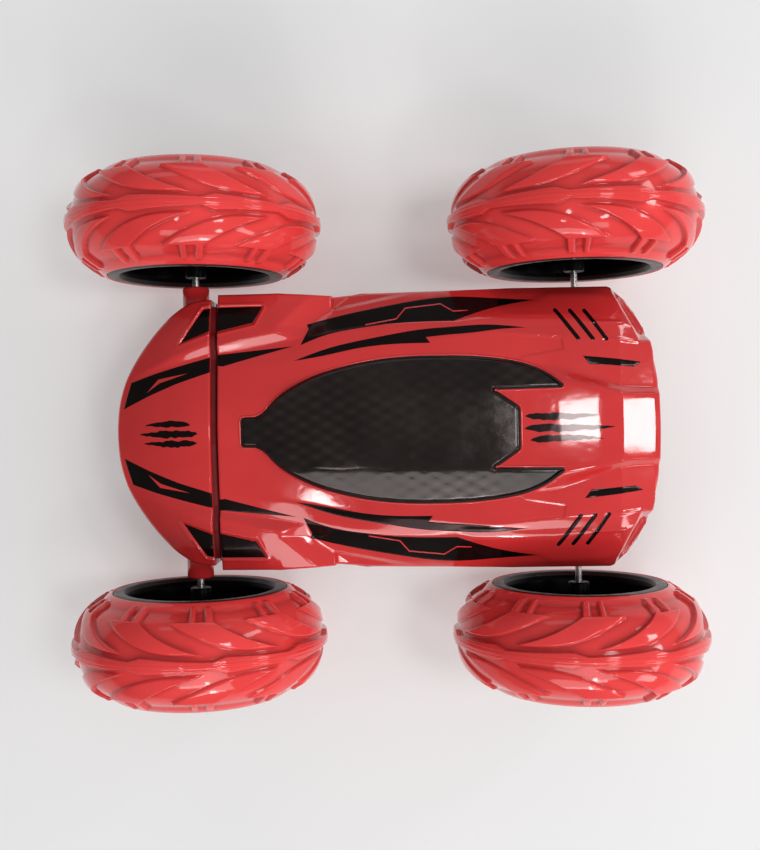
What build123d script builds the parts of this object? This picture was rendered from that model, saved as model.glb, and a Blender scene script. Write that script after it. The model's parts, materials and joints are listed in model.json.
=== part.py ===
from build123d import *
import math
import os

os.makedirs("parts", exist_ok=True)

# ---------------------------------------------------------------- driving dimensions (mm)
# Row frame: +X forward (towards the nose), +Y the car's left, +Z up.
# Origin on the ground, midway between the axles.
AXLE_Z = 56.0            # axle height = tyre radius
WHEELBASE = 168.0
HALF_TRACK = 91.5        # centre plane of a tyre
TYRE_HALF_W = 22.5
TYRE_WALL = 2.6
RIM_R = 38.1             # outside of the rim barrel and its lip
COLLAR_R = 4.6                # hub collar round the axle, reaches the mouth of the bowl
LIP_INNER_R = 32.8
AXLE_R = 1.5
RUN_CLEAR = 0.05         # radial running clearance of every shaft

WALL = 2.2               # shell wall
BODY_FRONT_X = 72.0      # rear edge of the parting groove is here
NOSE_REAR_X = 75.1
TONGUE_X = 72.8          # the nose's tongue reaches this far into the groove
PIVOT_R = 6.0            # nose spindle
SPINDLE_BORE_R = 3.6

PRESSURE_ANGLE = 25.0
ADDENDUM = 0.8
DEDENDUM = 1.12
BACKLASH = 0.09          # removed from each tooth, measured on the pitch circle

DRIVE_MODULE = 0.5
T_PINION = 9
T_COMP_LARGE = 30
T_COMP_SMALL = 10
T_AXLE = 22
TWIST_MODULE = 0.8
T_TWIST_GEAR = 32
T_TWIST_PINION = 10

STAGE1_CD = DRIVE_MODULE * (T_PINION + T_COMP_LARGE) / 2      # 9.75
STAGE2_CD = DRIVE_MODULE * (T_COMP_SMALL + T_AXLE) / 2        # 8.0
TWIST_CD = TWIST_MODULE * (T_TWIST_GEAR + T_TWIST_PINION) / 2  # 16.8
PINION_ANGLE = 60.0      # the motor shaft sits above the line of the two gears

# stations of one drive unit, as distance from the car's centre plane
Y_MOTOR = (3.6, 18.6)
Y_COVER = (18.6, 20.0)
Y_STAGE1 = (20.5, 23.5)
Y_MID = (24.1, 25.5)
Y_STAGE2 = (26.1, 30.1)
Y_OUTER = (30.7, 32.1)

# wheel name, axle X, side (+1 = left)
WHEELS = [
    ("fl", WHEELBASE / 2, 1),
    ("fr", WHEELBASE / 2, -1),
    ("rl", -WHEELBASE / 2, 1),
    ("rr", -WHEELBASE / 2, -1),
]


def save(builder, node):
    builder.part.label = node
    export_step(builder.part, "parts/" + node + ".step")


def mirrored(pts):
    """Outline given for y >= 0, closed across the centre line."""
    return pts + [(x, -y) for x, y in reversed(pts) if y > 1e-6]


# ---------------------------------------------------------------- gear teeth
def gear_points(module, teeth, phase_deg):
    """Corner points of a spur gear. Flanks are short chords of the involute."""
    rp = module * teeth / 2
    alpha = math.radians(PRESSURE_ANGLE)
    rb = rp * math.cos(alpha)
    ra = rp + ADDENDUM * module
    rf = rp - DEDENDUM * module
    inv = math.tan(alpha) - alpha
    half = math.pi / (2 * teeth) - BACKLASH / 2 / rp + inv
    r0 = max(rb, rf + 0.02)
    flank = []
    for i in range(4):
        r = r0 + (ra - r0) * i / 3
        a = math.acos(min(1.0, rb / r))
        flank.append((r, half - (math.tan(a) - a)))
    pts = []
    for k in range(teeth):
        c = math.radians(phase_deg) + 2 * math.pi * k / teeth
        pts.append((rf, c - half - 0.02 / rp))
        for r, t in flank:
            pts.append((r, c - t))
        for r, t in reversed(flank):
            pts.append((r, c + t))
        pts.append((rf, c + half + 0.02 / rp))
    return [(r * math.cos(t), r * math.sin(t)) for r, t in pts]


def mesh_phase(phase_a, teeth_a, direction_deg, teeth_b):
    """Phase of gear B that puts a gap opposite each tooth of A.

    direction_deg points from A to B in the plane of the gears."""
    offset = (direction_deg - phase_a) * teeth_a / teeth_b
    return direction_deg + 180 + 180 / teeth_b + offset


# ---------------------------------------------------------------- tyres, rims, axles, hub nuts
# half of the tyre's outer profile: distance from the centre plane, radius
TYRE_PROFILE = [(0, 56.0), (4, 55.4), (9, 54.0), (14, 51.6), (18, 47.8), (20.6, 43.6), (22.5, 39.4)]

for name, ax, s in WHEELS:
    hub = Axis((ax, 0, AXLE_Z), (0, 1, 0))
    pl = Plane(origin=(ax, s * HALF_TRACK, AXLE_Z), x_dir=(1, 0, 0), z_dir=(0, 0, 1))

    # balloon tyre: a moulded skin with two beads, open towards the rim
    outer = [(r, y) for y, r in TYRE_PROFILE]
    inner = [(r - TYRE_WALL * 1.05, y * 0.885) for y, r in TYRE_PROFILE[:-1]]
    half = outer + [(RIM_R + 0.05, 22.3), (RIM_R + 0.05, 17.2), (41.0, 17.2)] + list(reversed(inner))
    with BuildPart() as tyre:
        with BuildSketch(pl):
            Polygon(*(half + [(r, -y) for r, y in reversed(half) if y > 0]), align=None)
        revolve(axis=hub)
    save(tyre, "tyre_" + name)

    # rim: barrel, grey inner lip, deep bowl towards the car with a long hub collar in it, shallow dish outside
    section = [
        (RIM_R, -22.0), (RIM_R - 1.2, -22.5), (LIP_INNER_R + 0.8, -22.5), (LIP_INNER_R, -21.9),
        (LIP_INNER_R - 0.6, -18.0), (LIP_INNER_R - 2.2, 2.0), (27.0, 5.0), (9.0, 5.6), (COLLAR_R, 4.6),
        (COLLAR_R, -22.2), (COLLAR_R - 0.5, -22.7), (AXLE_R + 0.02, -22.7), (AXLE_R + 0.02, 9.0), (5.4, 9.0), (8.0, 8.2), (27.6, 7.6),
        (33.2, 12.0), (34.6, 20.6), (35.6, 21.6), (RIM_R, 21.6),
        (RIM_R, 17.0), (35.3, 15.6), (34.4, -6.0), (35.0, -15.6), (RIM_R, -17.0),
    ]
    with BuildPart() as rim:
        with BuildSketch(pl):
            Polygon(*[(r, s * y) for r, y in section], align=None)
        revolve(axis=hub)
        # five shallow pockets between the spokes of the outer dish
        with BuildSketch(Plane(origin=(ax, s * (HALF_TRACK + 13), AXLE_Z), x_dir=(1, 0, 0), z_dir=(0, -s, 0))):
            with PolarLocations(18.6, 5):
                SlotOverall(13.0, 8.0)
        extrude(amount=13 - 6.9, mode=Mode.SUBTRACT)
    save(rim, "rim_" + name)

    with BuildPart() as axle:
        with BuildSketch(Plane(origin=(ax, s * Y_MID[0], AXLE_Z), x_dir=(1, 0, 0), z_dir=(0, s, 0))):
            Circle(AXLE_R)
        extrude(amount=HALF_TRACK + 13.6 - Y_MID[0])
        chamfer(axle.faces().sort_by(Axis.Y)[-1 if s > 0 else 0].edges(), 0.3)
    save(axle, "axle_" + name)

    with BuildPart() as nut:
        with BuildSketch(Plane(origin=(ax, s * (HALF_TRACK + 9.05), AXLE_Z), x_dir=(1, 0, 0), z_dir=(0, s, 0))):
            RegularPolygon(3.2, 6)
            Circle(AXLE_R + 0.02, mode=Mode.SUBTRACT)
        extrude(amount=3.6)
    save(nut, "hub_nut_" + name)

# ---------------------------------------------------------------- four identical drive units
PIN_X = STAGE2_CD - STAGE1_CD * math.cos(math.radians(PINION_ANGLE))
PIN_Z = STAGE1_CD * math.sin(math.radians(PINION_ANGLE))
PILLARS = [(-4.5, -6.2), (-4.4, 7.2), (16.3, 5.0), (16.3, -5.0)]
MOTOR_PLATE = [(-6.1, -7.9), (-6.1, 9.0), (-2.5, 11.4), (6.5, 11.4), (11.0, 8.4), (17.9, 6.4),
               (17.9, -6.4), (12.5, -7.6), (-2.0, -8.8)]
BEARING_PLATE = [(-6.1, -7.9), (-6.1, 9.0), (4.0, 9.0), (10.0, 8.0), (17.9, 6.0),
                 (17.9, -6.0), (12.5, -7.4), (-2.0, -8.8)]

for name, ax, s in WHEELS:
    def side_plane(y):
        # plane across the car; its normal points away from the centre plane
        return Plane(origin=(ax, s * y, AXLE_Z), x_dir=(1, 0, 0), z_dir=(0, s, 0))

    def local(x, z):
        # (x forward, z up) into the plane's own coordinates
        return (x, -s * z)

    def place(pts, cx, cz):
        return [local(cx + px, cz + pz) for px, pz in pts]

    # tooth phases, measured in the (x forward, z up) plane
    ph_axle = 0.0
    ph_small = mesh_phase(ph_axle, T_AXLE, 0.0, T_COMP_SMALL)
    dir_pin = 180.0 - PINION_ANGLE
    ph_large = dir_pin
    ph_pin = mesh_phase(ph_large, T_COMP_LARGE, dir_pin, T_PINION)

    with BuildPart() as axle_gear:
        with BuildSketch(side_plane(Y_STAGE2[0])):
            Polygon(*place(gear_points(DRIVE_MODULE, T_AXLE, ph_axle), 0, 0), align=None)
            Circle(AXLE_R + 0.01, mode=Mode.SUBTRACT)
        extrude(amount=Y_STAGE2[1] - Y_STAGE2[0])
    save(axle_gear, "axle_gear_" + name)

    with BuildPart() as compound:
        with BuildSketch(side_plane(Y_STAGE1[0])):
            Polygon(*place(gear_points(DRIVE_MODULE, T_COMP_LARGE, ph_large), STAGE2_CD, 0), align=None)
        extrude(amount=Y_STAGE1[1] - Y_STAGE1[0] - 0.4)
        with BuildSketch(side_plane(Y_STAGE1[1] - 0.4)):
            with Locations(local(STAGE2_CD, 0)):
                Circle(1.85)
        extrude(amount=Y_STAGE2[0] + 0.3 - Y_STAGE1[1] + 0.4)
        with BuildSketch(side_plane(Y_STAGE2[0] + 0.3)):
            Polygon(*place(gear_points(DRIVE_MODULE, T_COMP_SMALL, ph_small), STAGE2_CD, 0), align=None)
        extrude(amount=3.4)
        with BuildSketch(side_plane(Y_STAGE1[0] - 0.1)):
            with Locations(local(STAGE2_CD, 0)):
                Circle(1.0 + RUN_CLEAR)
        extrude(amount=12, mode=Mode.SUBTRACT)
    save(compound, "compound_gear_" + name)

    with BuildPart() as pinion:
        with BuildSketch(side_plane(Y_STAGE1[0] - 0.2)):
            Polygon(*place(gear_points(DRIVE_MODULE, T_PINION, ph_pin), PIN_X, PIN_Z), align=None)
        extrude(amount=3.0)
        with BuildSketch(side_plane(Y_STAGE1[0] - 0.2)):
            with Locations(local(PIN_X, PIN_Z)):
                Circle(0.75)
        extrude(amount=-6.4)
    save(pinion, "motor_pinion_" + name)

    with BuildPart() as motor:
        with BuildSketch(side_plane(Y_MOTOR[0])):
            with Locations(local(PIN_X, PIN_Z)):
                Circle(6.0)
                Rectangle(10.0, 12.0, mode=Mode.INTERSECT)
        extrude(amount=Y_MOTOR[1] - Y_MOTOR[0])
        with BuildSketch(side_plane(Y_MOTOR[1])):
            with Locations(local(PIN_X, PIN_Z)):
                Circle(2.0)
        extrude(amount=0.9)
        with BuildSketch(side_plane(Y_MOTOR[1] + 0.9)):
            with Locations(local(PIN_X, PIN_Z)):
                Circle(0.75 + RUN_CLEAR)
        extrude(amount=-6.6, mode=Mode.SUBTRACT)
        # end cap and the two terminals
        with BuildSketch(side_plane(Y_MOTOR[0])):
            with Locations(local(PIN_X, PIN_Z)):
                Circle(4.4)
        extrude(amount=-0.8)
        with BuildSketch(side_plane(Y_MOTOR[0] - 0.8)):
            with Locations(local(PIN_X, PIN_Z + 3.0), local(PIN_X, PIN_Z - 3.0)):
                Rectangle(1.6, 0.6)
        extrude(amount=-1.6)
    save(motor, "motor_" + name)

    # frame with the outer and middle bearing plates on four pillars
    with BuildPart() as case:
        with BuildSketch(side_plane(Y_OUTER[0])):
            Polygon(*[local(x, z) for x, z in BEARING_PLATE], align=None)
            Circle(AXLE_R + RUN_CLEAR, mode=Mode.SUBTRACT)
        extrude(amount=Y_OUTER[1] - Y_OUTER[0])
        with BuildSketch(side_plane(Y_MID[0])):
            Polygon(*[local(x, z) for x, z in BEARING_PLATE], align=None)
            Circle(AXLE_R + RUN_CLEAR, mode=Mode.SUBTRACT)
            with Locations(local(STAGE2_CD, 0)):
                Circle(3.25, mode=Mode.SUBTRACT)
        extrude(amount=Y_MID[1] - Y_MID[0])
        with BuildSketch(side_plane(Y_COVER[1])):
            with Locations(*[local(x, z) for x, z in PILLARS]):
                Circle(1.4)
        extrude(amount=Y_OUTER[0] - Y_COVER[1])
    save(case, "gearbox_frame_" + name)

    # motor plate with the moulded pin of the compound gear
    with BuildPart() as cover:
        with BuildSketch(side_plane(Y_COVER[0])):
            Polygon(*[local(x, z) for x, z in MOTOR_PLATE], align=None)
            with Locations(local(PIN_X, PIN_Z)):
                Circle(2.05, mode=Mode.SUBTRACT)
        extrude(amount=Y_COVER[1] - Y_COVER[0])
        with BuildSketch(side_plane(Y_COVER[1])):
            with Locations(local(STAGE2_CD, 0)):
                Circle(1.0)
        extrude(amount=Y_OUTER[0] - 0.1 - Y_COVER[1])
    save(cover, "gearbox_cover_" + name)

# ---------------------------------------------------------------- body halves
# Facets of the upper half: z = a + b*x + c*|y| above the axle plane.
BODY_OUTLINE = [(BODY_FRONT_X, 0), (BODY_FRONT_X, 59.4), (46.0, 59.5), (24.2, 58.2), (10.0, 60.0), (-20.0, 60.2),
                (-54.0, 61.0), (-99.5, 61.0), (-106.6, 55.8), (-112.0, 49.6), (-116.0, 43.2), (-117.3, 34.0),
                (-117.8, 16.2), (-119.9, 15.9), (-119.9, 0)]
BODY_FACETS = [
    (24.1, -0.0212, -0.060),     # crown
    (33.6, -0.030, -0.315),      # upper flank
    (52.4, -0.010, -0.700),      # flash facet
    (72.6, 0.0, -1.060),         # lower flank
    (54.4, 0.34, -0.10),         # rear slope
    (63.5, 0.42, 0.0),           # tail
    (27.9, -0.080, -0.05),       # bonnet falling to the groove
]
NOSE_OUTLINE = [(NOSE_REAR_X, 0), (NOSE_REAR_X, 57.4), (80.0, 57.2), (84.0, 56.4), (88.8, 54.2), (96.5, 48.3),
                (103.3, 41.2), (108.2, 35.0), (112.4, 28.4), (114.2, 24.2), (116.4, 16.6), (117.9, 8.9),
                (118.9, 0)]
NOSE_FACETS = [
    (37.3, -0.200, -0.115),      # crown
    (75.4, -0.596, -0.10),       # front slope
    (52.1, -0.3266, -0.2640),    # flank
    (56.0, -0.20, -0.56),        # lower flank
]


def faceted_half(outline, facets, inset):
    """Upper half of a faceted shell body, shrunk by inset on every face but the parting plane."""
    with BuildPart() as half:
        with BuildSketch(Plane.XY.offset(AXLE_Z)):
            Polygon(*mirrored(outline), align=None)
            if inset:
                offset(amount=-inset, kind=Kind.INTERSECTION)
        extrude(amount=34)
        for a, b, c in facets:
            for side in ((1, -1) if c else (1,)):
                n = Vector(-b, -c * side, 1).normalized()
                o = Vector(0, 0, AXLE_Z + a) - n * inset
                split(bisect_by=Plane(origin=o, z_dir=n), keep=Keep.BOTTOM)
    return half.part


def prism(pts, z0, z1):
    with BuildPart() as p:
        with BuildSketch(Plane.XY.offset(AXLE_Z + z0)):
            Polygon(*pts, align=None)
        extrude(amount=z1 - z0)
    return p.part


def cut_by(solid_pts, z1, planes):
    """Prism from the axle plane to z1, trimmed by planes (a, b, c, side)."""
    with BuildPart() as p:
        with BuildSketch(Plane.XY.offset(AXLE_Z + 6)):
            Polygon(*solid_pts, align=None)
        extrude(amount=z1 - 6)
        for a, b, c in planes:
            n = Vector(-b, -c, 1).normalized()
            split(bisect_by=Plane(origin=Vector(0, 0, AXLE_Z + a), z_dir=n), keep=Keep.BOTTOM)
    return p.part


# canopy plan, the same on the battery door underneath
CANOPY = [(61.4, 0), (61.4, 5.8), (55.4, 5.9), (53.0, 7.1), (48.0, 12.1), (40.2, 18.0), (31.0, 22.6), (19.2, 26.3),
          (5.8, 29.0), (-11.0, 30.5), (-34.8, 30.3), (-46.5, 29.4), (-56.3, 27.5), (-64.4, 24.3), (-69.4, 21.2),
          (-73.6, 17.7), (-44.2, 16.7), (-54.9, 9.2), (-55.2, 0)]
# the shell is solid down to the pocket floor inside this outline
CANOPY_RIM = [(63.6, 0), (63.6, 8.2), (56.5, 8.4), (54.0, 9.8), (49.5, 14.2), (41.5, 20.2), (32.0, 25.0), (20.0, 28.7),
              (6.0, 31.4), (-11.0, 32.8), (-35.0, 32.6), (-47.0, 31.7), (-57.4, 29.8), (-66.0, 26.4), (-71.0, 23.0),
              (-77.0, 18.5), (-75.0, 14.8), (-57.8, 14.4), (-57.6, 0)]
# the canopy and the door are hollow inside this outline
CANOPY_HOLLOW = [(46.0, 0), (46.0, 10.6), (39.0, 15.9), (30.0, 20.6), (18.6, 24.3), (5.6, 27.0), (-11.0, 28.5),
                 (-34.5, 28.3), (-46.0, 27.4), (-55.5, 25.6), (-60.5, 23.8), (-60.5, 20.4), (-44.8, 18.9),
                 (-42.2, 17.6), (-42.4, 14.0), (-52.9, 7.4), (-53.0, 0)]
SEAT_Z = 19.0            # floor of the pocket that holds the canopy
CANOPY_FACETS = [
    (29.4, 0.0, 0.0),
    (34.9, 0.0, -0.355),
    (31.6, -0.140, -0.02),
]

half_outer = faceted_half(BODY_OUTLINE, BODY_FACETS, 0)
half_cavity = faceted_half(BODY_OUTLINE, BODY_FACETS, WALL)
seat_limit = prism(mirrored(CANOPY_RIM), SEAT_Z - WALL, 34)
canopy_pocket = prism(mirrored(CANOPY), SEAT_Z, 34)

# raised rear deck between the canopy and the tail
deck_block = cut_by(
    mirrored([(-40.0, 0), (-40.0, 27.5), (-65.0, 26.8), (-73.3, 25.1), (-86.0, 20.7), (-92.5, 18.5), (-96.0, 17.7),
              (-98.5, 14.0), (-98.9, 0)]),
    34, [(28.2, 0.0, -0.02), (28.2, 0.0, 0.02), (37.6, 0.12, 0.0)])


def pod_block(side):
    # raised lamp pod at the front corner of the body
    pts = [(72.0, 33.6), (72.0, 54.8), (52.4, 54.6), (44.0, 52.5), (40.9, 47.0), (33.4, 44.7), (35.9, 39.5)]
    return cut_by([(x, side * y) for x, y in pts], 30,
                  [(31.4, -0.030, -0.240 * side), (-0.6, -0.105, 0.80 * side), (13.0, -0.02 + 0.26, 0.0)])


def nose_pod_block(side):
    pts = [(NOSE_REAR_X, 33.4), (NOSE_REAR_X, 55.0), (84.0, 54.5), (90.0, 50.0), (98.0, 42.0), (104.0, 34.0),
           (108.0, 26.0), (98.0, 27.6), (84.0, 31.0)]
    return cut_by([(x, side * y) for x, y in pts], 30,
                  [(54.6, -0.375, -0.240 * side), (22.5, -0.25, 0.66 * side)])


SCREW_POSTS = [(60.0, 34.0), (60.0, -34.0), (-60.0, 47.0), (-60.0, -47.0)]
NOSE_POSTS = [(104.0, 10.0), (104.0, -10.0)]


def main_half(is_lower):
    """Upper half shell of the main body; the lower one is its mirror image with its own openings."""
    side_marks = (1, -1)
    with BuildPart() as shell:
        add(half_outer)
        for s in side_marks:
            add(pods[s])
        add(deck_block)
        add(half_cavity, mode=Mode.SUBTRACT)
        add(seat_ring)
        add(canopy_pocket, mode=Mode.SUBTRACT)
        # screw posts reach up into the roof
        for x, y in SCREW_POSTS:
            with BuildSketch(Plane.XY.offset(AXLE_Z)):
                with Locations((x, y)):
                    Circle(3.4)
            extrude(amount=19.4 if x > 0 else 17.0)
        # bearing bosses of the rear axle
        for s in side_marks:
            with BuildSketch(Plane(origin=(-WHEELBASE / 2, s * 59.8, AXLE_Z), x_dir=(1, 0, 0), z_dir=(0, -s, 0))):
                Circle(5.0)
            extrude(amount=7.0)
        # collar that holds the pivot bush
        with BuildSketch(Plane(origin=(BODY_FRONT_X - WALL, 0, AXLE_Z), x_dir=(0, 1, 0), z_dir=(-1, 0, 0))):
            Circle(14.0)
        extrude(amount=-0.4)
        split(bisect_by=Plane.XY.offset(AXLE_Z), keep=Keep.TOP)
        with BuildSketch(Plane(origin=(-WHEELBASE / 2, 70, AXLE_Z), x_dir=(1, 0, 0), z_dir=(0, -1, 0))):
            Circle(AXLE_R + RUN_CLEAR)
        extrude(amount=140, mode=Mode.SUBTRACT)
        with BuildSketch(Plane(origin=(BODY_FRONT_X + 1, 0, AXLE_Z), x_dir=(0, 1, 0), z_dir=(-1, 0, 0))):
            Circle(8.52)
        extrude(amount=4.0, mode=Mode.SUBTRACT)
        with BuildSketch(Plane.XY.offset(AXLE_Z - 0.1)):
            with Locations(*SCREW_POSTS):
                Circle(1.45 if is_lower else 1.15)
        extrude(amount=40 if is_lower else 12.1, mode=Mode.SUBTRACT)
        if is_lower:
            # screw heads are sunk in wells
            with BuildSketch(Plane.XY.offset(AXLE_Z + 8.0)):
                with Locations(*SCREW_POSTS):
                    Circle(2.7)
            extrude(amount=30, mode=Mode.SUBTRACT)
            # battery bay opening in the pocket floor
            with BuildSketch(Plane.XY.offset(AXLE_Z + 10)):
                with Locations((-17.0, 0)):
                    Rectangle(53.0, 34.4)
            extrude(amount=15, mode=Mode.SUBTRACT)
            # lug hole for the battery door's hook and its screw hole
            with BuildSketch(Plane.XY.offset(AXLE_Z + 10)):
                with Locations((50.0, 0)):
                    Rectangle(3.4, 8.4)
                with Locations((-51.0, 0)):
                    Circle(0.85)
            extrude(amount=15, mode=Mode.SUBTRACT)
            # slot of the power switch
            with BuildSketch(Plane.XY.offset(AXLE_Z + 10)):
                with Locations((35.0, -31.0)):
                    Rectangle(9.0, 4.0)
            extrude(amount=25, mode=Mode.SUBTRACT)
        else:
            # four holes for the canopy's pegs
            with BuildSketch(Plane.XY.offset(AXLE_Z + 10)):
                with Locations((40.0, 8.0), (40.0, -8.0), (-44.0, 24.0), (-44.0, -24.0)):
                    Circle(1.55)
            extrude(amount=15, mode=Mode.SUBTRACT)
    return shell.part


pods = {1: pod_block(1), -1: pod_block(-1)}
# the roof is thickened down to the pocket floor so the seat keeps its wall
with BuildPart() as seat_builder:
    add(half_outer)
    add(deck_block)
    add(seat_limit, mode=Mode.INTERSECT)
seat_ring = seat_builder.part

with BuildPart() as upper_shell:
    add(main_half(False))
save(upper_shell, "upper_shell")

with BuildPart() as lower_shell:
    add(mirror(main_half(True), about=Plane.XY.offset(AXLE_Z), mode=Mode.PRIVATE))
save(lower_shell, "lower_shell")


# ---------------------------------------------------------------- canopy and battery door
def canopy_block(plan, inset, z0):
    """Faceted dome over a plan, with its top lowered by inset."""
    with BuildPart() as c:
        with BuildSketch(Plane.XY.offset(AXLE_Z + z0)):
            Polygon(*mirrored(plan), align=None)
            if not inset:
                offset(amount=-0.15, kind=Kind.INTERSECTION)
        extrude(amount=16)
        for a, b, cc in CANOPY_FACETS:
            for side in ((1, -1) if cc else (1,)):
                n = Vector(-b, -cc * side, 1).normalized()
                o = Vector(0, 0, AXLE_Z + a) - n * inset
                split(bisect_by=Plane(origin=o, z_dir=n), keep=Keep.BOTTOM)
    return c.part


dome_outer = canopy_block(CANOPY, 0.0, SEAT_Z + 0.02)
dome_hollow = canopy_block(CANOPY_HOLLOW, 1.8, SEAT_Z - 1)

with BuildPart() as canopy:
    add(dome_outer)
    add(dome_hollow, mode=Mode.SUBTRACT)
    # pegs that locate it in the shell
    with BuildSketch(Plane.XY.offset(AXLE_Z + SEAT_Z - WALL)):
        with Locations((40.0, 8.0), (40.0, -8.0), (-44.0, 24.0), (-44.0, -24.0)):
            Circle(1.5)
    extrude(amount=WALL + 6.0)
save(canopy, "canopy")

with BuildPart() as door_up:
    add(dome_outer)
    add(dome_hollow, mode=Mode.SUBTRACT)
    with BuildSketch(Plane.XY.offset(AXLE_Z + SEAT_Z + 0.02)):
        with Locations((-51.0, 0)):
            Circle(3.4)
    extrude(amount=8.0)
    # hook that drops through the lug hole, with its foot under the pocket floor
    with BuildSketch(Plane.XY.offset(AXLE_Z + SEAT_Z - WALL - 1.4)):
        with Locations((49.9, 0)):
            Rectangle(2.4, 7.6)
    extrude(amount=WALL + 6.6)
    with BuildSketch(Plane.XY.offset(AXLE_Z + SEAT_Z - WALL - 1.4)):
        with Locations((51.6, 0)):
            Rectangle(5.0, 7.6)
    extrude(amount=1.2)
    # screw well at the tail of the door
    with BuildSketch(Plane.XY.offset(AXLE_Z + SEAT_Z)):
        with Locations((-51.0, 0)):
            Circle(1.15)
    extrude(amount=14, mode=Mode.SUBTRACT)
    with BuildSketch(Plane.XY.offset(AXLE_Z + SEAT_Z + 6.4)):
        with Locations((-51.0, 0)):
            Circle(2.4)
    extrude(amount=14, mode=Mode.SUBTRACT)
with BuildPart() as battery_door:
    add(mirror(door_up.part, about=Plane.XY.offset(AXLE_Z), mode=Mode.PRIVATE))
save(battery_door, "battery_door")

with BuildPart() as door_screw:
    with BuildSketch(Plane.XY.offset(AXLE_Z - SEAT_Z - 6.45)):
        with Locations((-51.0, 0)):
            Circle(2.1)
    extrude(amount=-1.5)
    with BuildSketch(Plane.XY.offset(AXLE_Z - SEAT_Z - 7.2)):
        with Locations((-51.0, 0)):
            Circle(0.8)
    extrude(amount=11.0)
    # cross recess
    with BuildSketch(Plane.XY.offset(AXLE_Z - SEAT_Z - 7.95)):
        with Locations((-51.0, 0)):
            Rectangle(2.2, 0.5)
            Rectangle(0.5, 2.2)
    extrude(amount=0.8, mode=Mode.SUBTRACT)
save(door_screw, "battery_door_screw")

with BuildPart() as body_screws:
    with BuildSketch(Plane.XY.offset(AXLE_Z - 8.02)):
        with Locations(*SCREW_POSTS):
            Circle(2.4)
    extrude(amount=-1.8)
    with BuildSketch(Plane.XY.offset(AXLE_Z - 8.5)):
        with Locations(*SCREW_POSTS):
            Circle(1.1)
    extrude(amount=18.0)
    with BuildSketch(Plane.XY.offset(AXLE_Z - 9.82)):
        with Locations(*SCREW_POSTS):
            Rectangle(2.6, 0.55)
            Rectangle(0.55, 2.6)
    extrude(amount=0.9, mode=Mode.SUBTRACT)
save(body_screws, "body_screws")

# ---------------------------------------------------------------- electrics in the body
with BuildPart() as battery_pack:
    with BuildSketch(Plane.XY.offset(AXLE_Z - 19.0)):
        with Locations((-17.0, 0)):
            RectangleRounded(50.0, 32.0, 2.0)
    extrude(amount=14.0)
save(battery_pack, "battery_pack")

with BuildPart() as receiver:
    with BuildSketch(Plane.XY.offset(AXLE_Z + 3.0)):
        with Locations((-17.0, 0)):
            Rectangle(46.0, 34.0)
    extrude(amount=1.6)
    with BuildSketch(Plane.XY.offset(AXLE_Z + 4.6)):
        with Locations((-24.0, 4.0)):
            Rectangle(12.0, 8.0)
        with Locations((-4.0, -9.0), (-4.0, 0.0), (-4.0, 9.0)):
            Rectangle(6.0, 6.0)
    extrude(amount=2.0)
    with BuildSketch(Plane.XY.offset(AXLE_Z + 4.6)):
        with Locations((-34.0, -10.0)):
            Circle(3.0)
    extrude(amount=7.0)
save(receiver, "receiver_board")

# slide switch under the right flank of the bonnet
SWITCH_X, SWITCH_Y = 35.0, -31.0
with BuildPart() as switch_base:
    with BuildSketch(Plane.XY.offset(AXLE_Z - 16.7)):
        with Locations((SWITCH_X, SWITCH_Y)):
            Rectangle(14.0, 7.0)
    extrude(amount=6.0)
    with BuildSketch(Plane.XY.offset(AXLE_Z - 16.7)):
        with Locations((SWITCH_X, SWITCH_Y)):
            Rectangle(8.4, 3.2)
    extrude(amount=2.0, mode=Mode.SUBTRACT)
save(switch_base, "switch_base")

with BuildPart() as switch_knob:
    with BuildSketch(Plane.XY.offset(AXLE_Z - 14.9)):
        with Locations((SWITCH_X - 2.0, SWITCH_Y)):
            Rectangle(4.0, 2.8)
    extrude(amount=-8.0)
save(switch_knob, "power_switch_knob")

# ---------------------------------------------------------------- twist drive
with BuildPart() as bush:
    with BuildSketch(Plane(origin=(67.8, 0, AXLE_Z), x_dir=(0, 1, 0), z_dir=(1, 0, 0))):
        Circle(10.4)
        Circle(PIVOT_R + RUN_CLEAR, mode=Mode.SUBTRACT)
    extrude(amount=1.58)
    with BuildSketch(Plane(origin=(67.8, 0, AXLE_Z), x_dir=(0, 1, 0), z_dir=(1, 0, 0))):
        Circle(8.5)
        Circle(PIVOT_R + RUN_CLEAR, mode=Mode.SUBTRACT)
    extrude(amount=6.2)
save(bush, "pivot_bush")

with BuildPart() as spindle:
    with BuildSketch(Plane(origin=(77.32, 0, AXLE_Z), x_dir=(0, 1, 0), z_dir=(1, 0, 0))):
        Circle(9.5)
    extrude(amount=2.0)
    with BuildSketch(Plane(origin=(78.0, 0, AXLE_Z), x_dir=(0, 1, 0), z_dir=(-1, 0, 0))):
        Circle(PIVOT_R)
    extrude(amount=17.6)
    with BuildSketch(Plane(origin=(80.0, 0, AXLE_Z), x_dir=(0, 1, 0), z_dir=(-1, 0, 0))):
        Circle(SPINDLE_BORE_R)
    extrude(amount=30, mode=Mode.SUBTRACT)
save(spindle, "pivot_spindle")

TWIST_X = (61.4, 66.4)
with BuildPart() as twist_gear:
    with BuildSketch(Plane(origin=(TWIST_X[0], 0, AXLE_Z), x_dir=(0, 1, 0), z_dir=(1, 0, 0))):
        Polygon(*gear_points(TWIST_MODULE, T_TWIST_GEAR, 0.0), align=None)
        Circle(PIVOT_R + 0.01, mode=Mode.SUBTRACT)
    extrude(amount=TWIST_X[1] - TWIST_X[0])
save(twist_gear, "twist_gear")

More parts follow.
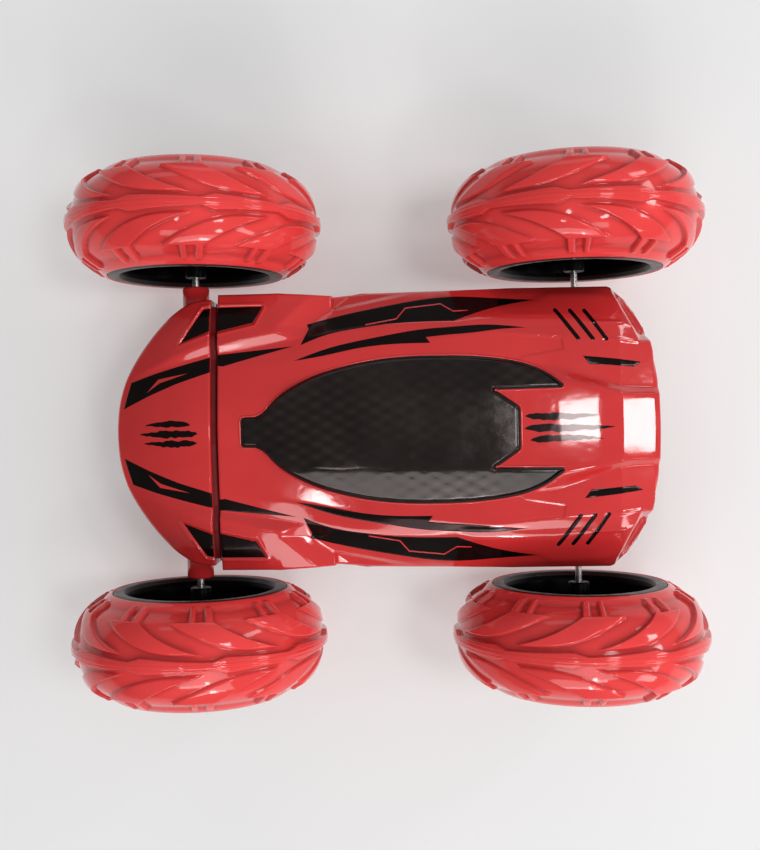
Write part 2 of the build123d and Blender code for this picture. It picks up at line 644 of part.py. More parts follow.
with BuildPart() as twist_pinion:
    ph = mesh_phase(0.0, T_TWIST_GEAR, 0.0, T_TWIST_PINION)
    with BuildSketch(Plane(origin=(TWIST_X[0] - 0.2, 0, AXLE_Z), x_dir=(0, 1, 0), z_dir=(1, 0, 0))):
        Polygon(*[(x + TWIST_CD, z) for x, z in gear_points(TWIST_MODULE, T_TWIST_PINION, ph)], align=None)
    extrude(amount=5.4)
    with BuildSketch(Plane(origin=(TWIST_X[0] - 0.2, 0, AXLE_Z), x_dir=(0, 1, 0), z_dir=(-1, 0, 0))):
        with Locations((TWIST_CD, 0)):
            Circle(1.5)
    extrude(amount=6.0)
save(twist_pinion, "twist_pinion")

with BuildPart() as twist_motor:
    with BuildSketch(Plane(origin=(50.0, TWIST_CD, AXLE_Z), x_dir=(0, 1, 0), z_dir=(1, 0, 0))):
        Rectangle(12.0, 10.0)
    extrude(amount=9.2)
    with BuildSketch(Plane(origin=(50.0, TWIST_CD, AXLE_Z), x_dir=(0, 1, 0), z_dir=(-1, 0, 0))):
        Circle(6.0)
        Rectangle(12.0, 10.0, mode=Mode.INTERSECT)
    extrude(amount=15.0)
    with BuildSketch(Plane(origin=(59.2, TWIST_CD, AXLE_Z), x_dir=(0, 1, 0), z_dir=(1, 0, 0))):
        Circle(3.0)
    extrude(amount=1.0)
    with BuildSketch(Plane(origin=(60.2, TWIST_CD, AXLE_Z), x_dir=(0, 1, 0), z_dir=(-1, 0, 0))):
        Circle(1.5 + RUN_CLEAR)
    extrude(amount=6.0, mode=Mode.SUBTRACT)
save(twist_motor, "twist_gearmotor")

# ---------------------------------------------------------------- nose halves
nose_outer = faceted_half(NOSE_OUTLINE, NOSE_FACETS, 0)
nose_cavity = faceted_half(NOSE_OUTLINE, NOSE_FACETS, WALL)
nose_pods = {1: nose_pod_block(1), -1: nose_pod_block(-1)}


def nose_half(is_lower):
    with BuildPart() as shell:
        add(nose_outer)
        for s in (1, -1):
            add(nose_pods[s])
        add(nose_cavity, mode=Mode.SUBTRACT)
        with BuildSketch(Plane.XY.offset(AXLE_Z)):
            with Locations(*NOSE_POSTS):
                Circle(3.2)
        extrude(amount=11.0)
        # bearing tubes that carry the front axles out to the wheels
        for s in (1, -1):
            with BuildSketch(Plane(origin=(WHEELBASE / 2, s * 64.5, AXLE_Z), x_dir=(1, 0, 0), z_dir=(0, -s, 0))):
                Circle(5.85)
            extrude(amount=12.5)
        # tongue that closes the groove, clear of the bush's collar
        with BuildSketch(Plane(origin=(TONGUE_X, 0, AXLE_Z), x_dir=(0, 1, 0), z_dir=(1, 0, 0))):
            Polygon((54.2, 0), (54.2, 6.8), (43.6, 12.7), (34.5, 15.1), (0, 19.1), (-34.5, 15.1), (-43.6, 12.7),
                    (-54.2, 6.8), (-54.2, 0), align=None)
            Circle(9.3, mode=Mode.SUBTRACT)
        extrude(amount=NOSE_REAR_X - TONGUE_X + 0.3)
        split(bisect_by=Plane.XY.offset(AXLE_Z), keep=Keep.TOP)
        with BuildSketch(Plane(origin=(WHEELBASE / 2, 70, AXLE_Z), x_dir=(1, 0, 0), z_dir=(0, -1, 0))):
            Circle(AXLE_R + RUN_CLEAR)
        extrude(amount=140, mode=Mode.SUBTRACT)
        with BuildSketch(Plane(origin=(NOSE_REAR_X - 1, 0, AXLE_Z), x_dir=(0, 1, 0), z_dir=(1, 0, 0))):
            Circle(PIVOT_R + 0.02)
        extrude(amount=4.0, mode=Mode.SUBTRACT)
        with BuildSketch(Plane.XY.offset(AXLE_Z - 0.1)):
            with Locations(*NOSE_POSTS):
                Circle(1.35 if is_lower else 1.05)
        extrude(amount=40 if is_lower else 9.1, mode=Mode.SUBTRACT)
        if is_lower:
            with BuildSketch(Plane.XY.offset(AXLE_Z + 6.0)):
                with Locations(*NOSE_POSTS):
                    Circle(2.4)
            extrude(amount=30, mode=Mode.SUBTRACT)
    return shell.part


with BuildPart() as nose_upper:
    add(nose_half(False))
save(nose_upper, "nose_upper_shell")

with BuildPart() as nose_lower:
    add(mirror(nose_half(True), about=Plane.XY.offset(AXLE_Z), mode=Mode.PRIVATE))
save(nose_lower, "nose_lower_shell")

with BuildPart() as nose_screws:
    with BuildSketch(Plane.XY.offset(AXLE_Z - 6.02)):
        with Locations(*NOSE_POSTS):
            Circle(2.1)
    extrude(amount=-1.6)
    with BuildSketch(Plane.XY.offset(AXLE_Z - 6.5)):
        with Locations(*NOSE_POSTS):
            Circle(1.0)
    extrude(amount=14.0)
    with BuildSketch(Plane.XY.offset(AXLE_Z - 7.62)):
        with Locations(*NOSE_POSTS):
            Rectangle(2.4, 0.5)
            Rectangle(0.5, 2.4)
    extrude(amount=0.8, mode=Mode.SUBTRACT)
save(nose_screws, "nose_screws")
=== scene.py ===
import bpy
import bmesh
import json
import math
import numpy as np
from mathutils import Matrix, Vector


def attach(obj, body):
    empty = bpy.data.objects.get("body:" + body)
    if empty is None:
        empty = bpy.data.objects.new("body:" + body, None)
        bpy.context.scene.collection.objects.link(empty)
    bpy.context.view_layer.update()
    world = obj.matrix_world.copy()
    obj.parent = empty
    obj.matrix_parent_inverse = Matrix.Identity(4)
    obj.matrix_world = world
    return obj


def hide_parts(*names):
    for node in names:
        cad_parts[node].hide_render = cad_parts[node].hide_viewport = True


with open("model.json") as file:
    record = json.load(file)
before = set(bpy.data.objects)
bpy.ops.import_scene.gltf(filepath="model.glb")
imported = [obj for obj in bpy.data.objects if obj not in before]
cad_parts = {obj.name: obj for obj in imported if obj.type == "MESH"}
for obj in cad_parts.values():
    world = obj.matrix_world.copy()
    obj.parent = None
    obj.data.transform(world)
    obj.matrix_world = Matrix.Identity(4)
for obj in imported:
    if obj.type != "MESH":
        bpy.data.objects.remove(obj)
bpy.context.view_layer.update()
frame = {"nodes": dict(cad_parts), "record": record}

MM = 0.001
AX = 56.0            # axle height, mm
BASE_X = 84.0        # half wheelbase
TRACK_Y = 91.5       # centre plane of a tyre
NODES = frame["nodes"]


# ================================================================= small helpers
def lin(x, xs, vs):
    return np.interp(x, xs, vs)


def soft(x, xs, vs, r=2.6):
    """Straight runs through (xs, vs) with every bend rounded over about 2 r."""
    t = np.arange(xs[0] - 4 * r, xs[-1] + 4 * r, 0.2)
    k = np.exp(-0.5 * (np.arange(-3 * r, 3 * r + 0.1, 0.2) / r) ** 2)
    ends = len(k) // 2
    v = np.interp(t, xs, vs)
    v[t < xs[0]] = vs[0] + (t[t < xs[0]] - xs[0]) * (vs[1] - vs[0]) / (xs[1] - xs[0])
    v[t > xs[-1]] = vs[-1] + (t[t > xs[-1]] - xs[-1]) * (vs[-1] - vs[-2]) / (xs[-1] - xs[-2])
    w = np.convolve(v, k / k.sum(), "same")
    w[:ends], w[-ends:] = v[:ends], v[-ends:]
    return np.interp(x, t, w)


def softabs(t, r):
    return np.sqrt(t * t + r * r)


def smin(a, b, k):
    return 0.5 * (a + b - np.sqrt((a - b) ** 2 + k * k))


def smax(a, b, k):
    return 0.5 * (a + b + np.sqrt((a - b) ** 2 + k * k))


def step01(t):
    t = np.clip(t, 0.0, 1.0)
    return t * t * (3 - 2 * t)


def natural_spline(t, v, ts):
    """Natural cubic spline through (t, v), read at ts."""
    t = np.asarray(t, float)
    v = np.asarray(v, float)
    n = len(t)
    h = np.diff(t)
    a = np.zeros((n, n))
    b = np.zeros(n)
    a[0, 0] = a[-1, -1] = 1
    for i in range(1, n - 1):
        a[i, i - 1], a[i, i], a[i, i + 1] = h[i - 1], 2 * (h[i - 1] + h[i]), h[i]
        b[i] = 6 * ((v[i + 1] - v[i]) / h[i] - (v[i] - v[i - 1]) / h[i - 1])
    m = np.linalg.solve(a, b)
    k = np.clip(np.searchsorted(t, ts) - 1, 0, n - 2)
    d = ts - t[k]
    e = t[k + 1] - ts
    return ((m[k] * e ** 3 + m[k + 1] * d ** 3) / (6 * h[k])
            + (v[k] / h[k] - m[k] * h[k] / 6) * e + (v[k + 1] / h[k] - m[k + 1] * h[k] / 6) * d)


def smooth_line(pts, step):
    """Points along a spline through pts."""
    p = np.array(pts, float)
    arc = np.concatenate([[0], np.cumsum(np.hypot(*np.diff(p, axis=0).T))])
    k = max(2, int(arc[-1] / step))
    t = np.linspace(0, arc[-1], k + 1)
    return [(float(a), float(b)) for a, b in zip(natural_spline(arc, p[:, 0], t), natural_spline(arc, p[:, 1], t))]


def poly_dist(px, py, poly):
    """Distance from each point to the closed outline."""
    px = np.asarray(px, float)
    py = np.asarray(py, float)
    best = np.full(px.shape, 1e9)
    n = len(poly)
    for i in range(n):
        (x0, y0), (x1, y1) = poly[i], poly[(i + 1) % n]
        dx, dy = x1 - x0, y1 - y0
        t = np.clip(((px - x0) * dx + (py - y0) * dy) / max(dx * dx + dy * dy, 1e-12), 0, 1)
        best = np.minimum(best, np.hypot(px - x0 - t * dx, py - y0 - t * dy))
    return best


def poly_in(px, py, poly):
    px = np.asarray(px, float)
    py = np.asarray(py, float)
    inside = np.zeros(px.shape, bool)
    n = len(poly)
    for i in range(n):
        (x0, y0), (x1, y1) = poly[i], poly[(i + 1) % n]
        if y0 == y1:
            continue
        cross = ((y0 > py) != (y1 > py)) & (px < (x1 - x0) * (py - y0) / (y1 - y0) + x0)
        inside ^= cross
    return inside


def poly_sd(px, py, poly):
    """Signed distance, positive inside."""
    d = poly_dist(px, py, poly)
    return np.where(poly_in(px, py, poly), d, -d)


def seg_dist(px, py, a, b):
    dx, dy = b[0] - a[0], b[1] - a[1]
    t = np.clip(((px - a[0]) * dx + (py - a[1]) * dy) / (dx * dx + dy * dy), 0, 1)
    return np.hypot(px - a[0] - t * dx, py - a[1] - t * dy)


def mirror_outline(pts):
    """Outline given for y >= 0, closed across the centre line."""
    return list(pts) + [(x, -y) for x, y in reversed(pts) if y > 1e-6]


def grid_quads(nu, nv, wrap_u=False, wrap_v=False, base=0, flip=False):
    iu = np.arange(nu if wrap_u else nu - 1)
    iv = np.arange(nv if wrap_v else nv - 1)
    a, b = np.meshgrid(iu, iv, indexing="ij")
    a2 = (a + 1) % nu
    b2 = (b + 1) % nv
    q = np.stack([a * nv + b, a2 * nv + b, a2 * nv + b2, a * nv + b2], -1).reshape(-1, 4) + base
    return q[:, ::-1] if flip else q


def mesh_object(name, verts, quads=None, tris=None, ngons=None, material=None, smooth=True, sharp=None):
    """Mesh from arrays in mm, rows of quads and triangles and a list of longer faces."""
    chunks, sizes = [], []
    for arr in (quads, tris):
        if arr is not None and len(arr):
            arr = np.asarray(arr, np.int32)
            chunks.append(arr.ravel())
            sizes.append(np.full(len(arr), arr.shape[1], np.int32))
    for g in ngons or []:
        chunks.append(np.asarray(g, np.int32))
        sizes.append(np.array([len(g)], np.int32))
    loops = np.concatenate(chunks)
    sizes = np.concatenate(sizes)
    starts = np.concatenate(([0], np.cumsum(sizes)[:-1])).astype(np.int32)
    me = bpy.data.meshes.new(name)
    me.vertices.add(len(verts))
    me.vertices.foreach_set("co", (np.asarray(verts, float) * MM).astype(np.float32).ravel())
    me.loops.add(len(loops))
    me.loops.foreach_set("vertex_index", loops)
    me.polygons.add(len(sizes))
    me.polygons.foreach_set("loop_start", starts)
    me.polygons.foreach_set("use_smooth", np.full(len(sizes), smooth, bool))
    me.update(calc_edges=True)
    me.validate()
    if sharp is not None:
        me.set_sharp_from_angle(angle=math.radians(sharp))
    ob = bpy.data.objects.new(name, me)
    bpy.context.scene.collection.objects.link(ob)
    if material is not None:
        me.materials.append(material)
    return ob


def put(ob, body, stands_for=()):
    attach(ob, body)
    if stands_for:
        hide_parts(*stands_for)
    return ob


def mirror_z(verts):
    v = np.array(verts, float)
    v[:, 2] = 2 * AX - v[:, 2]
    return v


def flip_faces(f):
    return None if f is None else np.asarray(f)[:, ::-1]


def lathe(name, profile, centre, material, n=96, axis="y", side=1, closed=True, sharp=30, wobble=None):
    """Turned solid. profile: (distance along the axis, radius), counter-clockwise round the section."""
    p = np.array(profile, float)
    th = np.arange(n) * 2 * math.pi / n
    r = p[None, :, 1] + 0 * th[:, None]
    d = p[None, :, 0] + 0 * th[:, None]
    if wobble is not None:
        d = d + wobble(th[:, None], r)
    c, s = np.cos(th)[:, None], np.sin(th)[:, None]
    if axis == "y":
        v = np.stack([centre[0] + r * s, centre[1] + side * d, centre[2] + r * c], -1)
    elif axis == "x":
        v = np.stack([centre[0] + side * d, centre[1] + r * s, centre[2] + r * c], -1)
    else:
        v = np.stack([centre[0] + r * c, centre[1] + r * s, centre[2] + side * d], -1)
    m = len(p)
    q = grid_quads(n, m, wrap_u=True, wrap_v=closed)
    ob = mesh_object(name, v.reshape(-1, 3), quads=q, material=material, sharp=sharp)
    bm = bmesh.new()
    bm.from_mesh(ob.data)
    bmesh.ops.recalc_face_normals(bm, faces=bm.faces)
    bm.to_mesh(ob.data)
    bm.free()
    if sharp is not None:
        ob.data.set_sharp_from_angle(angle=math.radians(sharp))
    return ob


# ================================================================= materials
class Nodes:
    def __init__(self, name):
        self.mat = bpy.data.materials.new(name)
        self.mat.use_nodes = True
        self.nt = self.mat.node_tree
        self.nt.nodes.clear()
        self.out = self.nt.nodes.new("ShaderNodeOutputMaterial")
        self.sh = self.nt.nodes.new("ShaderNodeBsdfPrincipled")
        self.nt.links.new(self.sh.outputs[0], self.out.inputs[0])
        self.co = self.nt.nodes.new("ShaderNodeTexCoord").outputs["Object"]

    def link(self, a, b):
        self.nt.links.new(a, b)

    def noise(self, scale, detail=2.0, rough=0.5, vec=None, distortion=0.0):
        n = self.nt.nodes.new("ShaderNodeTexNoise")
        n.inputs["Scale"].default_value = scale
        n.inputs["Detail"].default_value = detail
        n.inputs["Roughness"].default_value = rough
        n.inputs["Distortion"].default_value = distortion
        self.link(vec or self.co, n.inputs["Vector"])
        return n.outputs[0]

    def stretch(self, scale, rotation=(0, 0, 0)):
        n = self.nt.nodes.new("ShaderNodeMapping")
        n.inputs["Scale"].default_value = scale
        n.inputs["Rotation"].default_value = rotation
        self.link(self.co, n.inputs["Vector"])
        return n.outputs[0]

    def voronoi(self, scale, vec=None, feature="F1"):
        n = self.nt.nodes.new("ShaderNodeTexVoronoi")
        n.feature = feature
        n.inputs["Scale"].default_value = scale
        self.link(vec or self.co, n.inputs["Vector"])
        return n.outputs["Distance"]

    def ramp(self, fac, stops, interp="LINEAR"):
        n = self.nt.nodes.new("ShaderNodeValToRGB")
        n.color_ramp.interpolation = interp
        els = n.color_ramp.elements
        while len(els) > 1:
            els.remove(els[-1])
        els[0].position, els[0].color = stops[0][0], (*stops[0][1], 1)
        for p, c in stops[1:]:
            e = els.new(p)
            e.color = (*c, 1)
        self.link(fac, n.inputs[0])
        return n.outputs[0]

    def span(self, fac, lo, hi, f0=0.0, f1=1.0):
        n = self.nt.nodes.new("ShaderNodeMapRange")
        n.inputs["From Min"].default_value = f0
        n.inputs["From Max"].default_value = f1
        n.inputs["To Min"].default_value = lo
        n.inputs["To Max"].default_value = hi
        self.link(fac, n.inputs["Value"])
        return n.outputs[0]

    def math(self, op, a, b=None):
        n = self.nt.nodes.new("ShaderNodeMath")
        n.operation = op
        for i, v in enumerate((a, b)):
            if v is None:
                continue
            if isinstance(v, (int, float)):
                n.inputs[i].default_value = v
            else:
                self.link(v, n.inputs[i])
        return n.outputs[0]

    def mix(self, fac, a, b):
        n = self.nt.nodes.new("ShaderNodeMix")
        n.data_type = "RGBA"
        for sock, v in ((n.inputs[0], fac), (n.inputs[6], a), (n.inputs[7], b)):
            if isinstance(v, (tuple, list)):
                sock.default_value = (*v, 1)
            elif isinstance(v, (int, float)):
                sock.default_value = v
            else:
                self.link(v, sock)
        return n.outputs[2]

    def bump(self, height, distance, strength=1.0, normal=None):
        n = self.nt.nodes.new("ShaderNodeBump")
        n.inputs["Distance"].default_value = distance
        n.inputs["Strength"].default_value = strength
        self.link(height, n.inputs["Height"])
        if normal is not None:
            self.link(normal, n.inputs["Normal"])
        return n.outputs[0]


def gloss_plastic(name, dark, mid, light, rough=(0.16, 0.26), peel=0.00006, coat=0.0, spec=0.5, sss=0.0, peel_scale=260,
                  scuff=0.5, tint=(1.0, 1.0, 1.0), relief_shade=0.0):
    """Moulded gloss plastic: cloudy pigment, faint flow marks, orange peel, fine scuffs; optionally painted shade
    darkening the base colour along the foot of a relief.
    """
    m = Nodes(name)
    cloud = m.noise(34, 3, 0.55)
    flow = m.noise(1, 2, 0.5, vec=m.stretch((18, 60, 60)), distortion=0.4)
    tone = m.math("ADD", m.math("MULTIPLY", cloud, 0.65), m.math("MULTIPLY", flow, 0.35))
    col = m.ramp(tone, [(0.30, dark), (0.5, mid), (0.72, light)])
    if relief_shade:
        # painted shade: the base colour is darkened along the foot of the relief, where shade falls, by the mesh's own
        # per-point values
        own = m.nt.nodes.new("ShaderNodeAttribute")
        own.attribute_name = "relief_shade"
        shade = m.nt.nodes.new("ShaderNodeVectorMath")
        shade.operation = "SCALE"
        m.link(col, shade.inputs[0])
        m.link(m.math("SUBTRACT", 1.0, m.math("MULTIPLY", own.outputs["Fac"], relief_shade)), shade.inputs["Scale"])
        col = shade.outputs[0]
    m.link(col, m.sh.inputs["Base Color"])
    smear = m.noise(70, 4, 0.6)
    scr = m.noise(1, 3, 0.65, vec=m.stretch((140, 2200, 900), (0.2, 0.1, 0.6)))
    marks = m.span(scr, 0, 1, 0.62, 0.74)
    r = m.math("ADD", m.span(smear, rough[0], rough[1], 0.35, 0.65), m.math("MULTIPLY", marks, 0.10 * scuff))
    m.link(r, m.sh.inputs["Roughness"])
    peel_h = m.noise(peel_scale, 2, 0.4)
    fine = m.noise(1600, 2, 0.5)
    h = m.math("ADD", peel_h, m.math("MULTIPLY", fine, 0.08))
    m.link(m.bump(h, peel, 1.0), m.sh.inputs["Normal"])
    m.sh.inputs["Specular IOR Level"].default_value = spec
    m.sh.inputs["Specular Tint"].default_value = (*tint, 1)
    if coat:
        m.sh.inputs["Coat Weight"].default_value = coat
        m.sh.inputs["Coat Roughness"].default_value = 0.04
    if sss:
        m.sh.inputs["Subsurface Weight"].default_value = sss
        m.sh.inputs["Subsurface Radius"].default_value = (0.004, 0.001, 0.001)
        m.sh.inputs["Subsurface Scale"].default_value = 0.4
    return m.mat


def satin_black(name, base=0.018, rough=(0.32, 0.46), grain=900, peel=0.00004, spec=0.4):
    m = Nodes(name)
    cloud = m.noise(60, 3, 0.6)
    m.link(m.ramp(cloud, [(0.3, (base * 0.7, base * 0.7, base * 0.75)), (0.7, (base * 1.5, base * 1.45, base * 1.4))]),
           m.sh.inputs["Base Color"])
    m.link(m.span(m.noise(220, 3, 0.6), rough[0], rough[1], 0.3, 0.7), m.sh.inputs["Roughness"])
    m.link(m.bump(m.noise(grain, 3, 0.6), peel), m.sh.inputs["Normal"])
    m.sh.inputs["Specular IOR Level"].default_value = spec
    return m.mat


def metal(name, col, rough=(0.18, 0.32), along=(0, 1, 0), peel=0.00002):
    """Plated or drawn metal with fine lines along one axis."""
    m = Nodes(name)
    sc = tuple(60 if a else 1800 for a in along)
    lines = m.noise(1, 3, 0.6, vec=m.stretch(sc))
    blot = m.noise(140, 3, 0.6)
    c0 = tuple(x * 0.82 for x in col)
    m.link(m.ramp(m.math("ADD", m.math("MULTIPLY", lines, 0.6), m.math("MULTIPLY", blot, 0.4)), [(0.35, c0), (0.65, col)]),
           m.sh.inputs["Base Color"])
    m.sh.inputs["Metallic"].default_value = 1.0
    m.link(m.span(lines, rough[0], rough[1], 0.3, 0.7), m.sh.inputs["Roughness"])
    m.link(m.bump(lines, peel), m.sh.inputs["Normal"])
    return m.mat


RED_BODY = gloss_plastic("red_body", (0.600, 0.0250, 0.0262), (0.650, 0.0298, 0.0310), (0.700, 0.0360, 0.0372),
                         rough=(0.06, 0.11), peel=0.00005, coat=0.45)
# painted shade: a much darker copy of the body red for the tongue deep in the groove, where shade falls
RED_GROOVE_SHADE = gloss_plastic("red_groove_painted_shade", (0.13, 0.004, 0.006), (0.17, 0.006, 0.008), (0.21, 0.008, 0.010),
                           rough=(0.42, 0.55), peel=0.00005, spec=0.25)
# the tyre red carries painted shade in the tread's recesses
RED_TYRE = gloss_plastic("red_tyre", (0.790, 0.0470, 0.0470), (0.850, 0.0570, 0.0565), (0.900, 0.0680, 0.0665),
                         rough=(0.08, 0.13), peel=0.00006, coat=0.45, peel_scale=180, spec=0.16, relief_shade=0.40)
BLACK_GLOSS = gloss_plastic("black_decal", (0.0030, 0.0020, 0.0020), (0.0045, 0.0034, 0.0034), (0.0070, 0.0055, 0.0055),
                            rough=(0.09, 0.15), peel=0.00003, spec=0.22, tint=(1.0, 0.66, 0.66))
CLAW_INK = gloss_plastic("claw_ink", (0.0030, 0.0020, 0.0020), (0.0045, 0.0034, 0.0034), (0.0070, 0.0055, 0.0055),
                         rough=(0.06, 0.11), peel=0.00003, spec=0.40, coat=0.10, tint=(1.0, 0.80, 0.80))
RIM_BLACK = satin_black("rim_black", 0.0008, (0.30, 0.42), spec=0.05)
RIM_LIP = satin_black("rim_lip", 0.010, (0.26, 0.40), 1200, spec=0.3)
RIM_FACE = satin_black("rim_face", 0.011, (0.28, 0.40), 1000, spec=0.35)
FRAME_BLACK = satin_black("frame_black", 0.04, (0.42, 0.58))
# painted shade: black for the shadowed gap round the canopy
GAP_SHADE_BLACK = satin_black("gap_painted_shade", 0.004, (0.55, 0.7))
STEEL = metal("steel", (0.66, 0.64, 0.61))
STEEL_X = metal("steel_screw", (0.60, 0.58, 0.55), along=(0, 0, 1))
CAN_STEEL = metal("motor_can", (0.55, 0.55, 0.56), (0.25, 0.4))
GEAR_WHITE = gloss_plastic("gear_white", (0.70, 0.68, 0.62), (0.78, 0.76, 0.71), (0.83, 0.82, 0.77), rough=(0.4, 0.55), sss=0.1)
BOARD = gloss_plastic("board_green", (0.015, 0.14, 0.04), (0.03, 0.20, 0.07), (0.04, 0.26, 0.09), rough=(0.3, 0.42))
BATTERY = gloss_plastic("battery_blue", (0.03, 0.08, 0.33), (0.05, 0.11, 0.42), (0.06, 0.14, 0.5), rough=(0.25, 0.4))


def canopy_material():
    """Smoke black gloss; the base colour follows the quilted relief, paler on its bumps and darker in its dimples, as
    painted highlight and shade.
    """
    m = Nodes("canopy_smoke")
    cloud = m.noise(55, 5, 0.62)
    haze = m.noise(26, 3, 0.5, distortion=0.6)
    sep = m.nt.nodes.new("ShaderNodeSeparateXYZ")
    m.link(m.co, sep.inputs[0])
    # painted shade and highlight: the same lozenges as the canopy's quilted relief, paler on the bumps, darker in the
    # dimples, by an amount that varies at random
    along = m.math("MULTIPLY", sep.outputs["X"], 2 * math.pi / 0.0100)
    across = m.math("MULTIPLY", m.math("ABSOLUTE", sep.outputs["Y"]), 2 * math.pi / 0.0054)
    quilt = m.math("ADD", m.math("COSINE", m.math("ADD", along, across)), m.math("COSINE", m.math("SUBTRACT", along, across)))
    quilt_shade_amount = m.span(m.noise(30, 2, 0.5), 0.01, 0.07, 0.38, 0.62)
    tone = m.math("ADD", m.math("ADD", m.math("MULTIPLY", cloud, 0.5), m.math("MULTIPLY", haze, 0.5)),
                  m.math("MULTIPLY", quilt, quilt_shade_amount))
    m.link(m.ramp(tone, [(0.30, (0.0040, 0.0029, 0.0026)), (0.5, (0.0105, 0.0074, 0.0066)), (0.74, (0.0235, 0.0168, 0.0150))]),
           m.sh.inputs["Base Color"])
    m.link(m.span(m.noise(90, 4, 0.6), 0.12, 0.22, 0.35, 0.65), m.sh.inputs["Roughness"])
    h = m.math("ADD", m.noise(150, 3, 0.5), m.math("MULTIPLY", m.noise(1500, 2, 0.5), 0.06))
    m.link(m.bump(h, 0.00010), m.sh.inputs["Normal"])
    m.sh.inputs["Specular IOR Level"].default_value = 0.36
    m.sh.inputs["Specular Tint"].default_value = (1.0, 0.86, 0.82, 1)
    m.sh.inputs["Coat Weight"].default_value = 0.12
    m.sh.inputs["Coat Roughness"].default_value = 0.05
    return m.mat


CANOPY_MAT = canopy_material()

CAD_LOOK = {
    "tyre_red": RED_TYRE, "body_red": RED_BODY, "smoke_black": CANOPY_MAT, "rim_black": RIM_BLACK, "steel": STEEL,
    "motor_can": CAN_STEEL, "gear_white": GEAR_WHITE, "frame_black": FRAME_BLACK, "board_green": BOARD,
    "battery_blue": BATTERY, "bearing_white": GEAR_WHITE,
}
for part in frame["record"]["subparts"]:
    ob = NODES[part["node"]]
    look = CAD_LOOK[part["material_slot"]]
    if "screw" in part["node"]:
        look = STEEL_X
    if not ob.material_slots:
        ob.data.materials.append(look)
    for s in ob.material_slots:
        s.material = look

# ================================================================= camera, light, floor
def rot3(axis, deg):
    return Matrix.Rotation(math.radians(deg), 3, axis)


cam_data = bpy.data.cameras.new("camera")
cam = bpy.data.objects.new("camera", cam_data)
bpy.context.scene.collection.objects.link(cam)
cam_data.sensor_fit = "AUTO"
cam_data.sensor_width = 36.0
cam_data.lens = 1024.9 * 36.0 / 850.0
cam_data.clip_start, cam_data.clip_end = 0.01, 50
turn = Matrix(((-1, 0, 0), (0, -1, 0), (0, 0, 1))) @ rot3("Z", -0.95) @ rot3("Y", 0.426) @ rot3("X", -0.209)
cam.matrix_world = Matrix.Translation(Vector((-0.285, -3.73, 511.7)) * MM) @ turn.to_4x4()
bpy.context.scene.camera = cam
bpy.context.scene.view_settings.view_transform = "Standard"
bpy.context.scene.view_settings.look = "None"

world = bpy.data.worlds.new("studio")
bpy.context.scene.world = world
world.use_nodes = True
wn = world.node_tree
wn.nodes.clear()
w_out = wn.nodes.new("ShaderNodeOutputWorld")
w_bg = wn.nodes.new("ShaderNodeBackground")
w_co = wn.nodes.new("ShaderNodeTexCoord")
w_sep = wn.nodes.new("ShaderNodeSeparateXYZ")
w_ramp = wn.nodes.new("ShaderNodeValToRGB")
w_map = wn.nodes.new("ShaderNodeMapRange")
w_map.inputs["From Min"].default_value = -1.0
wn.links.new(w_co.outputs["Generated"], w_sep.inputs[0])
wn.links.new(w_sep.outputs["Z"], w_map.inputs["Value"])
wn.links.new(w_map.outputs[0], w_ramp.inputs[0])
els = w_ramp.color_ramp.elements
els[0].position, els[0].color = 0.50, (0.27, 0.27, 0.27, 1)
els[1].position, els[1].color = 1.00, (0.36, 0.36, 0.36, 1)
for pos, val in ((0.60, 0.33), (0.72, 0.42), (0.90, 0.40)):
    e = els.new(pos)
    e.color = (val, val, val, 1)
# the room is dimmer ahead of the nose
w_side = wn.nodes.new("ShaderNodeMapRange")
w_side.inputs["From Min"].default_value, w_side.inputs["From Max"].default_value = 0.0, 0.9
w_side.inputs["To Min"].default_value, w_side.inputs["To Max"].default_value = 1.0, 0.50
w_mul = wn.nodes.new("ShaderNodeVectorMath")
w_mul.operation = "SCALE"
wn.links.new(w_sep.outputs["X"], w_side.inputs["Value"])
wn.links.new(w_ramp.outputs[0], w_mul.inputs[0])
wn.links.new(w_side.outputs[0], w_mul.inputs["Scale"])
wn.links.new(w_mul.outputs[0], w_bg.inputs["Color"])
w_bg.inputs["Strength"].default_value = 0.80
wn.links.new(w_bg.outputs[0], w_out.inputs[0])


def softbox(name, location, target, size, power, shape="RECTANGLE"):
    d = bpy.data.lights.new(name, "AREA")
    d.shape = shape
    d.size, d.size_y = size
    d.energy = power
    ob = bpy.data.objects.new(name, d)
    bpy.context.scene.collection.objects.link(ob)
    ob.location = location
    ob.rotation_mode = "QUATERNION"
    ob.rotation_quaternion = (Vector(target) - Vector(location)).to_track_quat("-Z", "Y")
    ob.visible_camera = False
    return ob


# radiance of a softbox is power / (pi * area)
softbox("key_left", (0.0, 1.30, 1.36), (0, 0, 0.05), (1.6, 0.50), 8.2)
softbox("key_strip", (-0.05, 1.46, 1.13), (0, 0, 0.05), (0.90, 0.12), 2.4)
softbox("key_pane", (0.235, 0.40, 1.35), (0, 0, 0.05), (0.10, 0.07), 0.42)
softbox("fill_right", (0.1, -1.70, 0.72), (0, 0, 0.05), (1.7, 0.40), 1.9)
softbox("rear_window", (-1.36, 0.0, 0.765), (-0.107, 0, 0.075), (0.30, 0.25), 3.4)
softbox("deck_pane", (-0.443, -0.017, 1.20), (-0.08, 0, 0.08), (0.225, 0.235), 2.8)
softbox("crown_left", (-0.49, 0.53, 1.20), (0, 0, 0.10), (0.16, 0.10), 1.0)
softbox("corner_pane", (-1.19, -0.80, 0.70), (-0.10, -0.04, 0.075), (0.20, 0.50), 2.0)
softbox("corner_pane_l", (-1.19, 0.80, 0.70), (-0.10, 0.04, 0.075), (0.20, 0.50), 2.0)
softbox("flank_pane", (-0.19, 1.22, 1.0), (-0.05, 0.045, 0.078), (0.08, 0.20), 1.2)

